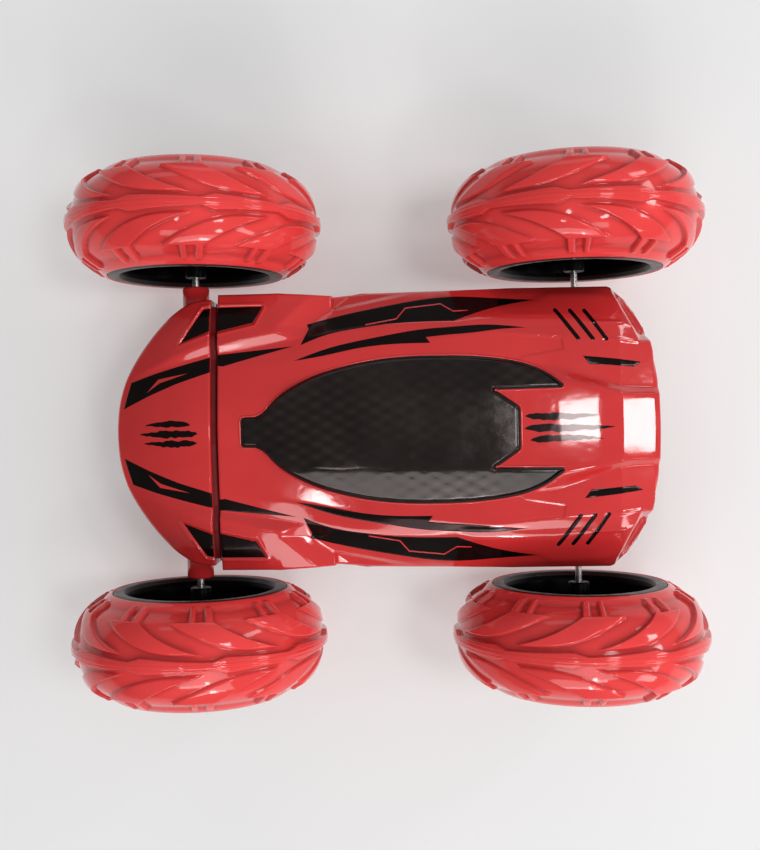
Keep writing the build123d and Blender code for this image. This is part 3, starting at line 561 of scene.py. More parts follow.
floor_m = Nodes("floor")
floor_m.link(floor_m.ramp(floor_m.noise(2.2, 3, 0.5), [(0.3, (0.60, 0.60, 0.60)), (0.7, (0.62, 0.62, 0.62))]),
             floor_m.sh.inputs["Base Color"])
floor_m.link(floor_m.span(floor_m.noise(30, 3, 0.5), 0.75, 0.88, 0.3, 0.7), floor_m.sh.inputs["Roughness"])
floor_m.link(floor_m.bump(floor_m.noise(420, 2, 0.5), 0.00003), floor_m.sh.inputs["Normal"])
floor_m.sh.inputs["Specular IOR Level"].default_value = 0.2
floor_m.sh.inputs["Emission Color"].default_value = (1.0, 1.0, 1.0, 1)
floor_m.sh.inputs["Emission Strength"].default_value = 0.28
nf = 13
fx = np.linspace(-6000, 6000, nf)
gx, gy = np.meshgrid(fx, fx, indexing="ij")
floor = mesh_object("floor", np.stack([gx, gy, 0 * gx - 0.05], -1).reshape(-1, 3), quads=grid_quads(nf, nf),
                    material=floor_m.mat)

# ================================================================= tyres
PITCH = 36.0
ENVELOPE = [(0, 56.0), (4, 55.4), (9, 54.0), (14, 51.6), (18, 47.8), (20.6, 43.6), (22.5, 39.4)]
WHEELS = {          # name: axle X, side, leaf tip angle at the top, sweep direction
    "fl": (BASE_X, 1, -12.0, 1),
    "fr": (BASE_X, -1, -10.5, 1),
    "rl": (-BASE_X, 1, 5.0, -1),
    "rr": (-BASE_X, -1, 9.5, -1),
}


def tyre_section():
    """Outer profile samples from one bead to the other: lateral place, radius, outward normal."""
    pts = np.array([(-s, r) for s, r in reversed(ENVELOPE[1:])] + ENVELOPE, float)
    arc = np.concatenate([[0], np.cumsum(np.hypot(*np.diff(pts, axis=0).T))])
    half = arc[-1] / 2
    u = np.concatenate([np.arange(0, 3.2, 0.2), np.arange(3.2, 19.5, 0.36), np.linspace(19.5, half, 14)])
    u = np.concatenate([-u[:0:-1], u]) + half
    s = natural_spline(arc, pts[:, 0], u)
    r = natural_spline(arc, pts[:, 1], u)
    ds = natural_spline(arc, pts[:, 0], u + 0.01) - natural_spline(arc, pts[:, 0], u - 0.01)
    dr = natural_spline(arc, pts[:, 1], u + 0.01) - natural_spline(arc, pts[:, 1], u - 0.01)
    n = np.hypot(ds, dr)
    return s, np.minimum(r, 56.0), -dr / n, ds / n


EDGE_A = ([0, 11, 21, 30.5, 40, 60, 75], [4.0, 7.2, 11.2, 16.1, 21.5, 33, 42])
EDGE_B = ([0, 10, 19, 29, 39, 53.5, 75], [3.95, 4.2, 4.8, 6.8, 10.5, 16.9, 26.0])


def tread(a, s):
    """Height of the tread above its recess. a: degrees from a leaf tip along its sweep, s: |place across|."""
    a = np.mod(a, PITCH)
    high = np.zeros(np.broadcast(a, s).shape)
    for k in (0.0, PITCH):
        aa = a + k
        ea = natural_spline(*EDGE_A, aa)
        eb = natural_spline(*EDGE_B, aa)
        lim = np.minimum(ea, 17.2)
        q = np.clip((s - eb) / np.maximum(lim - eb, 0.3), 0, 1)
        top = 0.62 + 0.72 * q ** 0.8
        leaf = top * step01((ea - s) * 0.92 / 0.46) * step01((s - eb) * 0.95 / 0.80) * step01((17.1 - s) / 0.50)
        high = np.maximum(high, leaf)
        for mid, half in ((42.0, 1.6), (34.0, 2.1)):
            e = step01((half - np.abs(aa - mid)) * 0.85 / 0.55) * step01((s - 15.6) / 0.5) * step01((21.7 - s) / 0.8)
            high = np.maximum(high, 1.22 * e)
    b = np.mod(-a, PITCH)
    b = np.where(b < 2, b + PITCH, b)
    w = lin(b, [2, 8, 38], [1.85, 3.5, 1.85])
    band = 1.40 - 0.10 * np.exp(-((s - 1.0) / 0.25) ** 2) - 0.10 * np.clip((s - 1.2) / 1.5, 0, 1)
    return np.maximum(high, band * step01((w + 0.12 - s) / 0.5))


def tread_shade_mask(h, step):
    """How far each place lies below what is round it, from 0 to 1, used as painted shade at the foot of the relief.
    Rows go round the tyre, step mm apart.
    """
    out = h
    for axis, sigma in ((0, 1.3 / step), (1, 1.3 / 0.36)):
        n = int(3 * sigma) + 1
        k = np.exp(-0.5 * (np.arange(-n, n + 1) / sigma) ** 2)
        k /= k.sum()
        pad = [(0, 0), (0, 0)]
        pad[axis] = (n, n)
        e = np.pad(out, pad, mode="wrap" if axis == 0 else "edge")
        out = sum(f * np.take(e, np.arange(i, i + h.shape[axis]), axis=axis) for i, f in enumerate(k))
    return np.clip((out - h) / 0.55, 0, 1)


TYRE_S, TYRE_R, TYRE_NS, TYRE_NR = tyre_section()
TYRE_INNER = [(22.42, 38.75), (22.1, 38.2), (21.4, 38.12), (17.3, 38.12), (17.2, 40.9), (15.9, 45.0), (12.4, 48.8), (8.0, 51.2),
              (3.5, 52.6), (-3.5, 52.6), (-8.0, 51.2), (-12.4, 48.8), (-15.9, 45.0), (-17.2, 40.9), (-17.3, 38.12),
              (-21.4, 38.12), (-22.1, 38.2), (-22.42, 38.75)]
N_TYRE = 720
for w, (ax, side, tip, sweep) in WHEELS.items():
    th = np.arange(N_TYRE) * 360.0 / N_TYRE
    a = sweep * (th[:, None] - tip)
    s = np.abs(TYRE_S)[None, :]
    depth = 1.40 * (1 - 0.75 * step01((s - 20.2) / 2.2))
    disp = 1.35 * np.minimum(tread(a, s) - depth, 0.0)
    dd = TYRE_S[None, :] + disp * TYRE_NS[None, :]
    rr = TYRE_R[None, :] + disp * TYRE_NR[None, :]
    inner = np.array(TYRE_INNER)
    dd = np.concatenate([dd, np.broadcast_to(inner[:, 0], (N_TYRE, len(inner)))], 1)
    rr = np.concatenate([rr, np.broadcast_to(inner[:, 1], (N_TYRE, len(inner)))], 1)
    t = np.radians(th)[:, None]
    v = np.stack([ax + rr * np.sin(t), side * TRACK_Y + dd, AX + rr * np.cos(t)], -1).reshape(-1, 3)
    q = grid_quads(N_TYRE, dd.shape[1], wrap_u=True, wrap_v=True, flip=True)
    tyre = mesh_object("tyre_tread_" + w, v, quads=q, material=RED_TYRE)
    # painted shade: a 0 to 1 darkening at the foot of the tread relief, kept on the mesh for the tyre material
    foot = np.concatenate([tread_shade_mask(disp, 2 * math.pi * 56 / N_TYRE), np.zeros((N_TYRE, len(inner)))], 1)
    tyre.data.attributes.new("relief_shade", "FLOAT", "POINT").data.foreach_set("value", foot.astype(np.float32).ravel())
    put(tyre, "wheel_" + w, ["tyre_" + w])

# ================================================================= rims
dish_r = np.linspace(8.8, 32.2, 34)
RIM_SECTION = ([(-21.9, 38.02), (-22.25, 37.5), (-22.45, 36.9), (-22.5, 36.2), (-22.5, 33.9), (-22.4, 33.3), (-21.9, 32.85),
                (-20.6, 32.6), (-20.2, 32.1), (-18.0, 31.9), (-8.0, 31.2), (1.0, 30.6), (2.9, 30.1), (4.2, 29.0), (4.9, 27.4),
                (5.2, 20.0), (5.5, 10.4), (5.2, 8.2), (4.2, 5.9), (3.0, 5.0), (0.0, 4.75), (-12.0, 4.65), (-22.1, 4.6),
                (-22.55, 4.45), (-22.7, 4.1), (-22.7, 1.56), (9.0, 1.56), (9.0, 5.0), (8.9, 5.4), (8.3, 6.0), (7.7, 7.4)]
               + [(7.4 + 2.6 * ((r - 8.8) / 23.4) ** 2.4, r) for r in dish_r]
               + [(12.4, 33.2), (16.0, 33.8), (20.4, 34.4), (21.2, 34.8), (21.55, 35.4), (21.6, 36.1), (21.6, 37.2),
                  (21.3, 37.8), (20.7, 38.05), (17.0, 38.05), (15.6, 35.4), (-6.0, 34.5), (-15.6, 35.1), (-17.0, 38.05)])
DISH_AT = 31
IS_DISH = np.array([1.0 if DISH_AT <= i < DISH_AT + len(dish_r) else 0.0 for i in range(len(RIM_SECTION))])


def spokes(th, r):
    """Five broad spokes stand out of the outer dish, with a rib down the middle of each."""
    k = 2 * math.pi / 5
    rel = np.mod(th + k / 2, k) - k / 2
    across = np.abs(r * np.sin(rel))
    wide = 3.0 + 0.07 * np.clip(r - 9, 0, 30)
    arm = step01((wide - across) / 0.9 + 0.5)
    hub = step01((11.5 - r) / 1.6)
    ring = step01((r - 29.6) / 1.4)
    high = np.maximum(np.maximum(arm, hub), ring)
    rib = step01((0.9 - across) / 0.6) * step01((r - 12) / 2) * step01((28 - r) / 2)
    fade = step01((32.4 - r) / 0.9)
    return IS_DISH[None, :] * (3.1 * high * fade + 0.45 * rib) * step01((r - 8.6) / 0.9)


for w, (ax, side, tip, sweep) in WHEELS.items():
    rim = lathe("rim_dish_" + w, RIM_SECTION, (ax, side * TRACK_Y, AX), RIM_BLACK, n=300, side=side, wobble=spokes, sharp=None)
    rim.data.materials.append(RIM_LIP)
    rim.data.materials.append(RIM_FACE)
    m = len(RIM_SECTION)
    # recalculated faces keep their order: the section index runs fastest
    kind = np.zeros(m, np.int32)
    kind[:7] = kind[m - 1] = 1
    kind[27:m - 6] = 2
    idx = np.tile(kind, 300)
    rim.data.polygons.foreach_set("material_index", idx)
    put(rim, "wheel_" + w, ["rim_" + w])

# ================================================================= body surface, mm above the axle plane
XS = [-120, -115.5, -107, -100, -92, -88, -75, -60, -47, -38, -20, 0, 14, 25, 39, 46, 60, 72]
L1Y = [34, 34, 36, 36.8, 37.4, 37.5, 37.9, 39.5, 41, 40.5, 38.2, 36.1, 34.3, 32.2, 29.9, 28.8, 27, 25.5]
L1Z = [12.2, 14.2, 17.5, 20.1, 21.8, 22.4, 23.0, 23.2, 23.1, 23.0, 22.8, 22.6, 22.4, 22.2, 21.7, 21.4, 20.6, 19.6]
L2Y = [38, 38, 42.5, 44.3, 44.4, 44.5, 45, 45.5, 46, 46, 45.9, 44.9, 43.3, 41, 38, 38, 38, 38]
L2Z = [11.0, 12.8, 16.0, 18.4, 20.2, 20.6, 21.0, 20.8, 20.4, 20.0, 19.8, 20.2, 20.4, 20.3, 19.2, 18.6, 17.8, 17.2]
L3Y = [40, 40, 48, 54.5, 57, 57.2, 57.5, 57.8, 58, 58.2, 57.8, 56, 53.5, 51, 47.5, 48.5, 50, 50]
L3Z = [10.0, 11.0, 12.5, 13.0, 13.6, 13.8, 13.4, 12.2, 10.8, 10.0, 9.4, 10.6, 11.8, 13.2, 15.2, 15.2, 15.0, 14.6]
C0Z = [13.3, 15.2, 18.75, 21.65, 23.2, 23.7, 24.4, 24.8, 24.9, 24.9, 24.8, 24.7, 24.6, 24.4, 23.8, 23.4, 22.7, 22.0]
OZX = [-120, -115, -102, -95, -60, -20, 0, 14, 22.5, 23.5, 46, 72]
OZ = [7.0, 7.0, 8.0, 8.5, 8.0, 7.0, 7.0, 7.2, 7.6, 10.5, 11.5, 11.5]
SIDE_X = [-95.5, -54, -20, 10, 24, 46, 72]
SIDE_Y = [61.0, 61.0, 60.3, 60.0, 58.3, 59.5, 59.4]
REAR_Y = [0, 16.2, 27, 34, 38.8, 43.2, 49.6, 55.8, 61]
REAR_X = [-117.3, -117.25, -116.9, -115.2, -114.8, -113.4, -109.6, -104.9, -99.0]
FILLET = 0.95


def side_y(x):
    return lin(x, SIDE_X, SIDE_Y)


MAIN_OUT = mirror_outline([(72.0, 0.0)] + [(x, float(side_y(x))) for x in np.linspace(72, -94, 24)]
                          + [(float(lin(y, REAR_Y, REAR_X)), float(y)) for y in np.linspace(61, 0, 26)])

POD_WINDOW = [(72.4, 54.4), (52.6, 54.4), (52.2, 53.3), (56.0, 45.9), (72.4, 42.3)]
INSET = [(-44.0, 39.9), (-46.3, 40.2), (-74.4, 37.9), (-74.9, 32.8), (-58.1, 30.1), (-56.4, 28.9), (-48.0, 26.0), (-36.0, 34.0)]


# outline of the canopy and the battery door
CAN_SIDE = smooth_line([(55.6, 5.95), (53.0, 7.1), (48.0, 12.1), (40.2, 18.0), (31.0, 22.6), (19.2, 26.3), (5.8, 29.0),
                        (-11.0, 30.5), (-28.0, 30.5), (-35.5, 30.2), (-46.5, 29.1), (-56.3, 27.3), (-64.4, 24.3),
                        (-69.4, 21.2), (-73.4, 17.9)], 3.2)
CAN_HALF = ([(61.4, 0.0), (61.4, 5.0), (61.1, 5.6), (60.5, 5.85)] + CAN_SIDE
            + [(-73.0, 17.2), (-44.8, 16.75), (-44.35, 16.45), (-44.5, 16.0), (-47.6, 14.0), (-54.0, 9.6), (-54.9, 8.7),
               (-55.2, 7.6), (-55.2, 0.0)])
CANOPY_OUT = mirror_outline(CAN_HALF)


def base_z(x, y):
    yo = side_y(x)
    yo = np.where(x < -99.5, lin(x, REAR_X, REAR_Y), yo)
    yo = np.maximum(yo, 20.0)
    y3 = np.minimum(soft(x, XS, L3Y), yo - 1.8)
    y2 = np.minimum(soft(x, XS, L2Y), y3 - 2.5)
    y1 = np.minimum(soft(x, XS, L1Y), y2 - 2.5)
    z0, z1, z2, z3 = soft(x, XS, C0Z), soft(x, XS, L1Z), soft(x, XS, L2Z), soft(x, XS, L3Z)
    zo = lin(x, OZX, OZ)
    s1 = (z1 - z0) / y1
    s2 = (z2 - z1) / (y2 - y1)
    s3 = (z3 - z2) / (y3 - y2)
    s4 = np.maximum((zo - z3) / np.maximum(yo - y3, 2.6), -2.4)
    z = z0 + s1 * softabs(y, 7.0)
    z = z + 0.5 * (s2 - s1) * ((y - y1) + softabs(y - y1, 0.6))
    z = z + 0.5 * (s3 - s2) * ((y - y2) + softabs(y - y2, 0.8))
    z = z + 0.5 * (s4 - s3) * ((y - y3) + softabs(y - y3, 0.9))
    return z + 0.5 * np.clip(1 - (y / np.maximum(y1, 1)) ** 2, 0, 1)


def pod_z(x, y):
    foot = 33.6 + (72 - x) * 0.163
    xf = np.where(y < 44.7, 33.3 + (44.7 - y) * 0.5, 33.3 - (y - 44.7) * 1.25)
    h = smin(smin((y - foot) * 0.80, (x - xf) * 0.30, 0.22), 3.3 + 0.045 * (60 - x), 0.30)
    return smax(h, 0, 0.22) - 0.05


def window_z(x, y):
    """Sunk panel in the pod with a small raised lip round it."""
    d = poly_sd(x, y, POD_WINDOW)
    lip = 0.32 * np.exp(-((d + 0.55) / 0.38) ** 2)
    return (-0.55 * step01(d / 0.45) + lip) * (x > 40)


def scoop_z(x, y):
    crease = lin(x, [-12, 8, 22.8], [59.2, 55.0, 52.0])
    a = np.clip((23.3 - x) / 0.8, 0, 1) * np.clip((x + 12) / 35.0, 0, 1)
    return -3.0 * a * np.clip((y - crease) / 1.0, 0, 1)


def deck_z(x, y):
    """Raised centre deck behind the canopy; it runs down the rear slope as a flat panel."""
    edge = soft(x, [-118, -104, -98.5, -92.5, -86, -73, -65, -50, -40], [16.6, 16.8, 17.4, 19.0, 20.9, 25.1, 26.8, 27.5, 27.5], 1.6)
    w1 = (edge - y) * lin(x, [-118, -98, -90, -75, -60], [0.9, 1.1, 1.0, 0.55, 0.42])
    top = soft(x, [-118, -101, -60, -44], [2.4, 3.1, 3.0, 2.3], 1.5)
    h = smin(w1, top, 0.6)
    return (smax(h, 0, 0.35) - 0.09) * np.clip((-36 - x) / 8, 0, 1)


def fender_z(x, y):
    ye = lin(x, [-70, -64, -52, -39.6, -29], [58, 54.8, 52.9, 49.7, 45.9])
    a = np.clip((-28 - x) / 8, 0, 1) * np.clip((x + 95) / 25, 0, 1)
    h = 0.55 * a * (1 + np.tanh((ye - y) / 1.6)) * np.clip((y - 43) / 5, 0, 1)
    for p, q in (((-86.7, 44.5), (-100.9, 44.3)), ((-92.2, 37.4), (-107.5, 36.1))):
        h = h + 0.30 * np.exp(-(seg_dist(x, y, p, q) / 0.55) ** 2)
    return h


def corner_z(x, y):
    """Chamfer across each rear corner."""
    d = -(x + 98.0) * 0.903 + (y - 58.0) * 0.430
    return 0.4 - np.maximum(smax(smin(1.9 * d, 2.2 * (y - 36.4), 0.4), 0, 0.3) - 0.02, 0)


def crease_z(x, y):
    """Makes the break at the top of the rear slope crisp, between the outer facets."""
    t = -99.0 - x
    h = np.where(t > 0, 0.20 - 0.49 * (1 - np.exp(-np.maximum(t, 0) / 2.6)), 0.20 * np.exp(np.minimum(t, 0) / 2.5))
    return h * np.clip((37.4 - y) / 1.4, 0, 1)


def main_z(x, y, edge=True, seat=True):
    x = np.asarray(x, float)
    y = np.abs(np.asarray(y, float))
    z = base_z(x, y) + pod_z(x, y) + scoop_z(x, y) + deck_z(x, y) + fender_z(x, y) + corner_z(x, y) + crease_z(x, y)
    near = (x > 48) & (y > 38)
    if near.any():
        z = z + np.where(near, window_z(np.where(near, x, 60), np.where(near, y, 60)), 0)
    near = (x < -40) & (y > 24) & (y < 44)
    if near.any():
        d = poly_sd(np.where(near, x, 0), np.where(near, y, 0), INSET)
        z = z - np.where(near, 0.45 * step01(d / 0.45 + 0.2) * np.clip((-45 - x) / 18, 0, 1), 0)
    # the shell drops away under the canopy
    near = (x < 63) & (x > -75) & (y < 32)
    if seat and near.any():
        d = poly_sd(np.where(near, x, 0), np.where(near, y, 60), CANOPY_OUT)
        z = z - np.where(near, 1.7 * step01((d + 0.95) / 0.5), 0)
    z = smax(z, 3.4, 0.8)
    if edge:
        z = z - fillet(poly_dist(x, y, MAIN_OUT), FILLET)
    return z


def fillet(d, r):
    d = np.clip(d, 0, r)
    return r - np.sqrt(np.maximum(r * r - (r - d) ** 2, 0))


# ---------------------------------------------------------------- nose surface
NOSE_EDGE = [(77.6, 57.35), (80, 57.2), (84, 56.4), (88.8, 54.1), (93.0, 51.3), (96.5, 48.3), (103.3, 41.2), (108.2, 35.0),
             (112.4, 28.5), (114.8, 23.8), (117.1, 17.2), (118.4, 11.2), (118.95, 5.6), (119.1, 0.9), (119.1, 0)]
NOSE_EDGE = smooth_line(NOSE_EDGE, 1.1)
NOSE_EDGE[-1] = (119.1, 0.0)
NOSE_OUT = mirror_outline(NOSE_EDGE[::-1] + [(75.1, 57.4)])
NOSE_WINDOW = [(89.4, 37.8), (78.6, 53.9), (74.6, 54.4), (74.6, 42.6), (75.6, 42.5)]


def nose_z(x, y, edge=True):
    x = np.asarray(x, float)
    y = np.abs(np.asarray(y, float))
    z0 = soft(x, [72, 75, 84, 92, 100, 108, 114, 119], [22.3, 22.0, 20.9, 19.2, 16.5, 12.4, 8.4, 4.8])
    z1 = soft(x, [72, 75, 84, 92, 100, 108, 114, 119], [19.7, 19.5, 18.2, 16.5, 14.0, 10.4, 7.0, 4.4])
    y1 = soft(x, [72, 75, 84, 92, 100, 108, 114, 119], [25.6, 25.8, 24.8, 23.2, 21.0, 17.4, 12.5, 6])
    ex = [p[0] for p in NOSE_EDGE]
    yo = np.maximum(lin(x, ex, [p[1] for p in NOSE_EDGE]), 1.0)
    zo = soft(x, [75, 84, 92, 100, 108, 114, 119], [11.0, 9.6, 8.0, 6.6, 5.2, 4.2, 3.8])
    y3 = np.maximum(yo * 0.86, yo - 7.5)
    z3 = soft(x, [75, 84, 92, 100, 108, 114, 119], [14.3, 12.6, 10.8, 8.8, 6.8, 5.2, 4.0])
    y1 = np.minimum(y1, y3 * 0.6)
    s1 = (z1 - z0) / np.maximum(y1, 0.5)
    s2 = (z3 - z1) / np.maximum(y3 - y1, 0.5)
    s3 = (zo - z3) / np.maximum(yo - y3, 0.5)
    z = z0 + s1 * softabs(y, 4.0)
    z = z + 0.5 * (s2 - s1) * ((y - y1) + softabs(y - y1, 1.6)) + 0.5 * (s3 - s2) * ((y - y3) + softabs(y - y3, 1.6))
    # the pod runs on to the nose and fades towards the tip
    foot = 33.4 - (x - 75) * 0.27
    hp = lin(x, [75, 84, 92, 100, 108, 114], [3.6, 3.1, 2.4, 1.5, 0.6, 0.0])
    z = z + smax(smin((y - foot) * 0.72, hp, 0.7), 0, 0.4) - 0.1
    near = (x < 95) & (y > 33)
    if near.any():
        d = poly_sd(np.where(near, x, 80), np.where(near, y, 50), NOSE_WINDOW)
        z = z + np.where(near, -0.5 * step01(d / 0.45) + 0.28 * np.exp(-((d + 0.55) / 0.38) ** 2), 0)
    z = smax(z, 3.2, 0.6)
    if edge:
        z = z - fillet(poly_dist(x, y, NOSE_OUT), FILLET)
    return z


# ================================================================= shells
NEAR = np.array([0, 0.05, 0.14, 0.28, 0.46, 0.70, 0.98, 1.32])


def runs(total, n_mid, near=NEAR):
    """Distances from one end of a length: close lines at both ends, even ones between. total may be an array."""
    total = np.asarray(total, float)[..., None]
    k = np.minimum(1.0, total / 12.0)
    a = near * k
    mid = np.linspace(0, 1, n_mid + 2)[1:-1]
    span = total - 2 * near[-1] * k
    return np.concatenate([a, near[-1] * k + mid * span, total - a[..., ::-1]], -1)


def cut_holes(V, quads, holes, top):
    """Round or square wells let into a skin. holes: (x, y, half x, half y or None for round, floor z)."""
    ngons = []
    for cx, cy, hx, hy, floor_z in holes:
        c = V[quads].mean(1)
        if hy is None:
            inside = np.hypot(c[:, 0] - cx, c[:, 1] - cy) < hx
        else:
            inside = (np.abs(c[:, 0] - cx) < hx) & (np.abs(c[:, 1] - cy) < hy)
        gone = quads[inside]
        quads = quads[~inside]
        edges = {}
        for q in gone:
            for i in range(4):
                edges[(q[i], q[(i + 1) % 4])] = True
        ring_next = {a: b for (a, b) in edges if (b, a) not in edges}
        start = next(iter(ring_next))
        loop = [start]
        while ring_next[loop[-1]] != start:
            loop.append(ring_next[loop[-1]])
        loop = np.array(loop)
        p = V[loop]
        dx, dy = p[:, 0] - cx, p[:, 1] - cy
        if hy is None:
            r = np.hypot(dx, dy)
            nx, ny = cx + dx / r * hx, cy + dy / r * hx
        else:
            kx, ky = np.abs(dx) / hx, np.abs(dy) / hy
            snap_x = kx > ky
            nx = np.where(snap_x, cx + np.sign(dx) * hx, cx + np.clip(dx, -hx, hx))
            ny = np.where(snap_x, cy + np.clip(dy, -hy, hy), cy + np.sign(dy) * hy)
        V[loop, 0], V[loop, 1] = nx, ny
        V[loop, 2] = AX + top(nx, ny)
        n0, n = len(V), len(loop)
        rings = []
        for z in (V[loop, 2] - 0.6, np.full(n, AX + floor_z)):
            rings.append(np.stack([nx, ny, z], -1))
        V = np.concatenate([V] + rings)
        r0, r1, r2 = loop, n0 + np.arange(n), n0 + n + np.arange(n)
        for a, b in ((r0, r1), (r1, r2)):
            quads = np.concatenate([quads, np.stack([a, np.roll(a, -1), np.roll(b, -1), b], -1)])
        ngons.append(list(r2))
    return V, quads, ngons


def shell(name, X, Y, top, rest, coarse, body, stands_for, material, lower=False, holes=()):
    """Closed half shell over a plan grid: outer skin, wall, parting face and inner skin."""
    nu, nv = X.shape
    Z = AX + top(X, Y)
    V = np.stack([X, Y, Z], -1).reshape(-1, 3)
    quads = grid_quads(nu, nv)
    idx = np.arange(nu * nv).reshape(nu, nv)
    loop = np.concatenate([idx[0, :-1], idx[:-1, -1], idx[-1, :0:-1], idx[:0:-1, 0]])
    n = len(loop)
    P = V[loop]
    tx = np.roll(P[:, 0], -1) - np.roll(P[:, 0], 1)
    ty = np.roll(P[:, 1], -1) - np.roll(P[:, 1], 1)
    ln = np.maximum(np.hypot(tx, ty), 1e-9)
    area = 0.5 * np.sum(P[:, 0] * np.roll(P[:, 1], -1) - np.roll(P[:, 0], -1) * P[:, 1])
    sg = 1 if area > 0 else -1
    inx, iny = -ty / ln * sg, tx / ln * sg          # towards the inside of the plan
    rings = [loop]
    extra = []
    count = len(V)
    zb = P[:, 2] - AX
    for t, inset in ((0.25, 0), (0.5, 0), (0.75, 0), (1.0, 0), (None, 0.16), (None, 0.30)):
        if t is not None:
            z = zb + (0.50 - zb) * t
        else:
            z = np.full(n, 0.22 if inset < 0.2 else 0.0)
        extra.append(np.stack([P[:, 0] + inx * inset, P[:, 1] + iny * inset, AX + z], -1))
        rings.append(count + np.arange(n))
        count += n
    for a, b in zip(rings[:-1], rings[1:]):
        quads = np.concatenate([quads, np.stack([a, np.roll(a, -1), np.roll(b, -1), b], -1)])
    V = np.concatenate([V] + extra)
    # inner skin on every coarse-th line, pulled in by the wall
    cu = idx[::coarse, ::coarse]
    mu, mv = cu.shape
    cx, cy = rest
    gx, gy = X[::coarse, ::coarse], Y[::coarse, ::coarse]
    wall = 2.2
    lx, ly = np.ptp(X), np.ptp(Y)
    qx = cx + (gx - cx) * (lx - 2 * wall) / lx
    qy = cy + (gy - cy) * (ly - 2 * wall) / ly
    qz = np.maximum(top(qx, qy) - wall, 0.8)
    base = len(V)
    V = np.concatenate([V, np.stack([qx, qy, AX + qz], -1).reshape(-1, 3)])
    quads = np.concatenate([quads, grid_quads(mu, mv, base=base, flip=True)])
    ci = base + np.arange(mu * mv).reshape(mu, mv)
    cl = np.concatenate([ci[0, :-1], ci[:-1, -1], ci[-1, :0:-1], ci[:0:-1, 0]])
    low = V[cl].copy()
    low[:, 2] = AX
    b2 = len(V)
    V = np.concatenate([V, low])
    cl2 = b2 + np.arange(len(cl))
    quads = np.concatenate([quads, np.stack([cl2, np.roll(cl2, -1), np.roll(cl, -1), cl], -1)])
    ngons = []
    last = rings[-1]
    m = len(cl)
    for i in range(m):
        fine = [last[(i * coarse + k) % n] for k in range(coarse + 1)]
        ngons.append(fine[::-1] + [cl2[i], cl2[(i + 1) % m]])
    V, quads, more = cut_holes(V, quads, holes, top)
    ngons += more
    if lower:
        V = mirror_z(V)
    ob = mesh_object(name, V, quads=quads, ngons=ngons, material=material)
    bm = bmesh.new()
    bm.from_mesh(ob.data)
    bmesh.ops.recalc_face_normals(bm, faces=bm.faces)
    bm.to_mesh(ob.data)
    bm.free()
    ob.data.set_sharp_from_angle(angle=math.radians(50))
    return put(ob, body, stands_for)


GRID = 0.5
COARSE = 5


def fit_lines(length, near):
    """Number of even lines so that all the lines less one divide by COARSE."""
    k = int(length / GRID)
    while (2 * len(near) + k - 1) % COARSE:
        k += 1
    return k


# plan grid of the main body: columns run from the rear outline to the groove
ny_mid = fit_lines(122.0, NEAR)
nom = runs(122.0, ny_mid) - 61.0
nx_mid = fit_lines(188.0, NEAR)
xr = lin(np.abs(nom), REAR_Y, REAR_X)
MX = (xr[:, None] + runs(72.0 - xr, nx_mid)).T
w = side_y(np.maximum(MX, -95.5))
off = 61.0 - np.abs(nom)[None, :]
MY = np.sign(nom)[None, :] * np.where(off <= NEAR[-1] + 1e-6, w - off, (61.0 - off) * (w - NEAR[-1]) / (61.0 - NEAR[-1]))

# plan grid of the nose: lines fan from the groove to the outline
nose_mid = fit_lines(114.0, NEAR)
q = np.array(NOSE_EDGE[::-1] )
q = np.concatenate([np.stack([q[:, 0], -q[:, 1]], -1)[:0:-1], q])          # from -y to +y
arc = np.concatenate([[0], np.cumsum(np.hypot(*np.diff(q, axis=0).T))])
sv = runs(arc[-1], nose_mid)
ox, oy = lin(sv, arc, q[:, 0]), lin(sv, arc, q[:, 1])
ry = runs(114.8, nose_mid) - 57.4
length = np.hypot(ox - 75.1, oy - ry)
nose_deep = fit_lines(44.0, NEAR)
tt = runs(length, nose_deep) / length[:, None]
NX = (75.1 + tt * (ox - 75.1)[:, None]).T
NY = (ry[:, None] + tt * (oy - ry)[:, None]).T

BODY_WELLS = [(60.0, 34.0, 2.9, None, 7.95), (60.0, -34.0, 2.9, None, 7.95), (-60.0, 47.0, 2.9, None, 7.95),
              (-60.0, -47.0, 2.9, None, 7.95), (35.0, -31.0, 4.5, 2.0, 14.6)]
NOSE_WELLS = [(104.0, 10.0, 2.5, None, 5.95), (104.0, -10.0, 2.5, None, 5.95)]
shell("body_upper", MX, MY, main_z, (-22.0, 0.0), COARSE, "chassis", ["upper_shell"], RED_BODY)
shell("body_lower", MX, MY, main_z, (-22.0, 0.0), COARSE, "chassis", ["lower_shell"], RED_BODY, lower=True,
      holes=BODY_WELLS)
shell("nose_upper", NX, NY, nose_z, (96.0, 0.0), COARSE, "nose", ["nose_upper_shell"], RED_BODY)
shell("nose_lower", NX, NY, nose_z, (96.0, 0.0), COARSE, "nose", ["nose_lower_shell"], RED_BODY, lower=True,
      holes=NOSE_WELLS)

